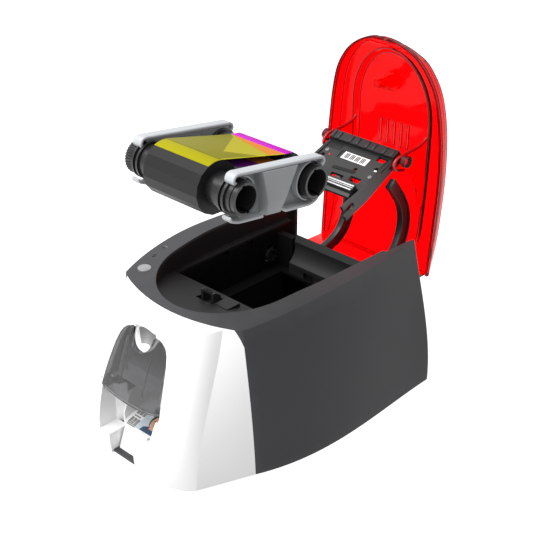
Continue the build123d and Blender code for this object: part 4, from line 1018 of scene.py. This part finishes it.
# middle of the bowl above the door, in x and z
BOWL = (-2.5, 118.0)
BROW_OPENING, BROW_WIDE, BROW_TALL, BROW_THICK = 13.0, 12.2, 5.6, 1.6
# where the shell round the bowl is felt for, and how far back it may be
FEELER_RADII, FEELER_DEPTH = (13.8, 15.5, 17.5), -95
SHADE_RADII, SHADE_DEPTH = (12.25, 12.05), -118.5


def surface_terms(x, z):
    """The terms of the curved surface that is fitted round the bowl."""
    rise = z - BOWL[1]
    return [1, x, x ** 2, rise, rise ** 2]
class PRINTER_OT_door(bpy.types.Operator):
    """Add the door's lit lower edge, and the bowl's back wall, brow, lip and shade"""
    bl_idname = "printer.door"
    bl_label = "Door and bowl"

    def execute(self, context):
        xs, ys, zs = numpy.array(lowest_line("feeder_door", -36.0, 31.0, 22)).T
        depth, height = numpy.polyfit(xs, ys, 2), numpy.polyfit(xs, zs, 2)
        line = [(x, float(numpy.polyval(depth, x)) + 0.7, float(numpy.polyval(height, x)) + 0.5)
                for x in numpy.linspace(xs[0] + 1, xs[-1] - 1, 24)]
        bead_piece("door_lit_edge", [line], 0.4, ROW, "door", "paper")
        flat_piece("bowl_back_wall", [circle(*BOWL, 12.0, 40)], 1.2, 0.3,
                   Matrix.Translation((0, -0.1015, 0)) @ FRONT, "base", "white")
        self.brow()
        self.shade()
        return {"FINISHED"}

    def shade(self):
        """The painted shade inside the bowl: a grey sheet in its deep part."""
        points, faces, rows, cols = [], [], 8, 14
        for radius in SHADE_RADII:
            for i in range(rows + 1):
                for j in range(cols + 1):
                    up, turn = math.radians(-62 + 66 * i / rows), math.radians(-60 + 120 * j / cols)
                    points.append((BOWL[0] + radius * math.cos(up) * math.sin(turn),
                                   SHADE_DEPTH + radius * math.cos(up) * math.cos(turn),
                                   BOWL[1] + radius * math.sin(up)))
        size = (rows + 1) * (cols + 1)
        for i in range(rows):
            for j in range(cols):
                a = i * (cols + 1) + j
                quad = (a, a + 1, a + cols + 2, a + cols + 1)
                faces += [quad, tuple(size + q for q in reversed(quad))]
        mesh_piece("bowl_shade", points, faces, ROW, "base", "bowl")


    def brow(self):
        """The curved white brow that closes the shell's opening above the bowl."""
        middle, height = BOWL
        shell = bpy.data.objects["front_shell"]
        terms, depths = [], []
        for r in FEELER_RADII:
            for k in range(25):
                a = math.radians(-15 + 210 * k / 24)
                x, z = middle + r * math.cos(a), height + r * math.sin(a)
                hit, place, _, _ = shell.ray_cast(Vector((x, -300, z)) * MM, Vector((0, 1, 0)))
                if hit and place.y / MM < FEELER_DEPTH:
                    terms.append(surface_terms(x, z))
                    depths.append(place.y / MM)
        fit = numpy.linalg.lstsq(numpy.array(terms), numpy.array(depths), rcond=None)[0]
        points, faces, around, across = [], [], 28, 6
        for back in (0.0, BROW_THICK):
            for i in range(around + 1):
                a = math.pi * i / around
                for j in range(across + 1):
                    t = j / across
                    wide, tall = (BROW_OPENING * (1 - t) + edge * t for edge in (BROW_WIDE, BROW_TALL))
                    x, z = middle + wide * math.cos(a), height + tall * math.sin(a)
                    depth = float(numpy.array(surface_terms(x, z)) @ fit)
                    points.append((x, depth + 0.02 + back, z))
        row = across + 1
        size = row * (around + 1)
        for i in range(around):
            for j in range(across):
                a = i * row + j
                faces += [(a, a + 1, a + row + 1, a + row),
                          (size + a + row, size + a + row + 1, size + a + 1, size + a)]
            for j in (0, across):
                a = i * row + j
                faces.append((a, a + row, size + a + row, size + a))
        for i in (0, around):
            for j in range(across):
                a = i * row + j
                faces.append((a, a + 1, size + a + 1, size + a))
        mesh_piece("bowl_brow", points, faces, ROW, "base", "white")
        # the pale grey line along the white lip is painted shade
        lip = [points[i * row + across] for i in range(around + 1)]
        bead_piece("bowl_lip_line", [[(x, y + 0.6, z) for x, y, z in lip]], 0.5, ROW, "base",
                   "pale_grey")


RIM_SLOPE = 5.2


class PRINTER_OT_controls(bpy.types.Operator):
    """Add the rings, indicator bezels and small icons by the button"""
    bl_idname = "printer.controls"
    bl_label = "Controls"

    def execute(self, context):
        def on_rim(x, y, z):
            return turned((x, y, z), RIM_SLOPE)

        flat_piece("button_ring", [circle(0, 0, 7.4, 48), circle(0, 0, 6.5, 48)], 0.5, 0.1,
                   on_rim(-62, -63, 135.9), "base", "ring")
        for name, place in (("first", (-70, -44.5, 137.75)), ("second", (-74, -29.5, 138.95))):
            flat_piece("indicator_ring_" + name, [circle(0, 0, 2.9, 32), circle(0, 0, 2.1, 32)], 0.4, 0.1,
                       on_rim(*place), "base", "ring")
        icon = [(-1.6, -1.1, 0), (1.6, -1.1, 0), (1.6, 1.1, 0), (-1.6, 1.1, 0)]
        bead_piece("icon_card", [icon], 0.12, on_rim(-64.5, -45, 137.85), "base", "ring",
                   closed=True)
        arrow = [[(-1.5, 0, 0), (1.5, 0, 0)], [(0.4, 1.0, 0), (1.5, 0, 0), (0.4, -1.0, 0)]]
        bead_piece("icon_arrow", arrow, 0.12, on_rim(-69, -31, 138.95), "base", "ring")
        return {"FINISHED"}


KEY_PLACE, KEY_SIZE = (-0.4, -0.8, 1.95), 1.5
FILL_PLACE, FILL_SIZE = (-0.1, -1.8, 0.75), 1.2
LAMP_TARGET = (0, 0, 0.1)
FLOOR_REACH = 6.0


def area_lamp(name, place, size, power):
    """A soft square lamp that looks at the printer."""
    lamp = bpy.data.lights.new(name, "AREA")
    lamp.shape, lamp.size, lamp.energy = "SQUARE", size, power
    obj = bpy.data.objects.new(name, lamp)
    obj.location = place
    aim = Vector(LAMP_TARGET) - Vector(place)
    obj.rotation_euler = aim.to_track_quat("-Z", "Y").to_euler()
    bpy.context.scene.collection.objects.link(obj)
    return obj


def seen_directly(tree):
    """1 for rays that look at the backdrop: camera, glossy and transmission rays."""
    rays = shade_node(tree, "ShaderNodeLightPath").outputs
    first = math_node(tree, "MAXIMUM", rays["Is Camera Ray"], rays["Is Glossy Ray"])
    return math_node(tree, "MAXIMUM", first, rays["Is Transmission Ray"])


class PRINTER_OT_back(bpy.types.Operator):
    """Add a dark screen behind the rear vents, painted shade that keeps them dark, and the inlet's pins"""
    bl_idname = "printer.back"
    bl_label = "Back"

    def execute(self, context):
        inlet_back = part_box("power_inlet")[1][1] / MM
        pins = [(x, x + 1.6, inlet_back - 7, inlet_back - 1.2, 23.2, 26.2) for x in (55.2, 58.2, 61.2)]
        # black slats behind the vents: painted shade where the open tub would let light through
        slats = [(x, x + 2.6, 133.6, 134.4, 31, 56) for x in range(-88, -28, 3)]
        slats += [(-89, -29, 132.8, 133.7, z, z + 2.6) for z in range(31, 55, 3)]
        block_piece("dust_screen", slats, 0.2, ROW, "base", "black")
        block_piece("inlet_pins", pins, 0.3, ROW, "base", "alloy")
        return {"FINISHED"}


class PRINTER_OT_stage(bpy.types.Operator):
    """Make the floor, the world light, the lamps and the camera"""
    bl_idname = "printer.stage"
    bl_label = "Stage"

    def execute(self, context):
        settings = context.scene.printer_stage
        mesh = bpy.data.meshes.new("floor")
        reach = FLOOR_REACH
        corners = [(-reach, -reach, 0), (reach, -reach, 0), (reach, reach, 0), (-reach, reach, 0)]
        mesh.from_pydata(corners, [], [(0, 1, 2, 3)])
        floor = bpy.data.objects.new("floor", mesh)
        context.scene.collection.objects.link(floor)
        material, tree, principled = new_material(
            "pale floor", Roughness=0.9, Base_Color=(0.35, 0.35, 0.35, 1), Specular_IOR_Level=0.1,
            Emission_Color=(1, 1, 1, 1))
        glow = math_node(tree, "MULTIPLY", seen_directly(tree), 1.0)
        set_inputs(tree, principled, Emission_Strength=glow)
        mesh.materials.append(material)
        world = bpy.data.worlds.new("studio")
        context.scene.world = world
        world.use_nodes = True
        tree = world.node_tree
        level = set_inputs(tree, shade_node(tree, "ShaderNodeMapRange"), Value=seen_directly(tree),
                           To_Min=settings.world_level, To_Max=1.0)
        set_inputs(tree, tree.nodes["Background"], Color=(1, 1, 1, 1), Strength=level.outputs[0])
        area_lamp("key", KEY_PLACE, KEY_SIZE, settings.key_power)
        area_lamp("fill", FILL_PLACE, FILL_SIZE, settings.fill_power)
        camera = bpy.data.cameras.new("camera")
        camera.lens, camera.sensor_width, camera.sensor_fit = CAMERA_LENS, SENSOR, "HORIZONTAL"
        camera.clip_start, camera.clip_end = 0.01, 20.0
        obj = bpy.data.objects.new("camera", camera)
        obj.location = CAMERA_PLACE
        obj.rotation_euler = [math.radians(a) for a in CAMERA_TURN]
        context.scene.collection.objects.link(obj)
        context.scene.camera = obj
        context.scene.view_settings.view_transform = "Standard"
        return {"FINISHED"}


class PRINTER_PT_panel(bpy.types.Panel):
    """Lists the steps that dress the printer"""
    bl_idname = "PRINTER_PT_panel"
    bl_label = "Card printer"
    bl_space_type = "VIEW_3D"
    bl_region_type = "UI"
    bl_category = "Card printer"

    def draw(self, context):
        for step in STEPS:
            self.layout.operator("printer." + step)


STEPS = ("finishes", "lid", "film", "cassette", "head", "card", "door", "controls", "back", "stage")
SETTINGS = {"printer_lid": LidSettings, "printer_film": FilmSettings,
            "printer_cassette": CassetteSettings, "printer_stage": StageSettings}
OPERATORS = (PRINTER_OT_finishes, PRINTER_OT_lid, PRINTER_OT_film, PRINTER_OT_cassette,
             PRINTER_OT_head, PRINTER_OT_card, PRINTER_OT_door,
             PRINTER_OT_controls, PRINTER_OT_back, PRINTER_OT_stage)
CLASSES = (*SETTINGS.values(), *OPERATORS, PRINTER_PT_panel)


def register():
    for cls in CLASSES:
        bpy.utils.register_class(cls)
    for name, kind in SETTINGS.items():
        setattr(bpy.types.Scene, name, bpy.props.PointerProperty(type=kind))


def unregister():
    for name in SETTINGS:
        delattr(bpy.types.Scene, name)
    for cls in reversed(CLASSES):
        bpy.utils.unregister_class(cls)


def main():
    """Dress the printer."""
    register()
    for step in STEPS:
        getattr(bpy.ops.printer, step)()


if __name__ == "__main__":
    main()
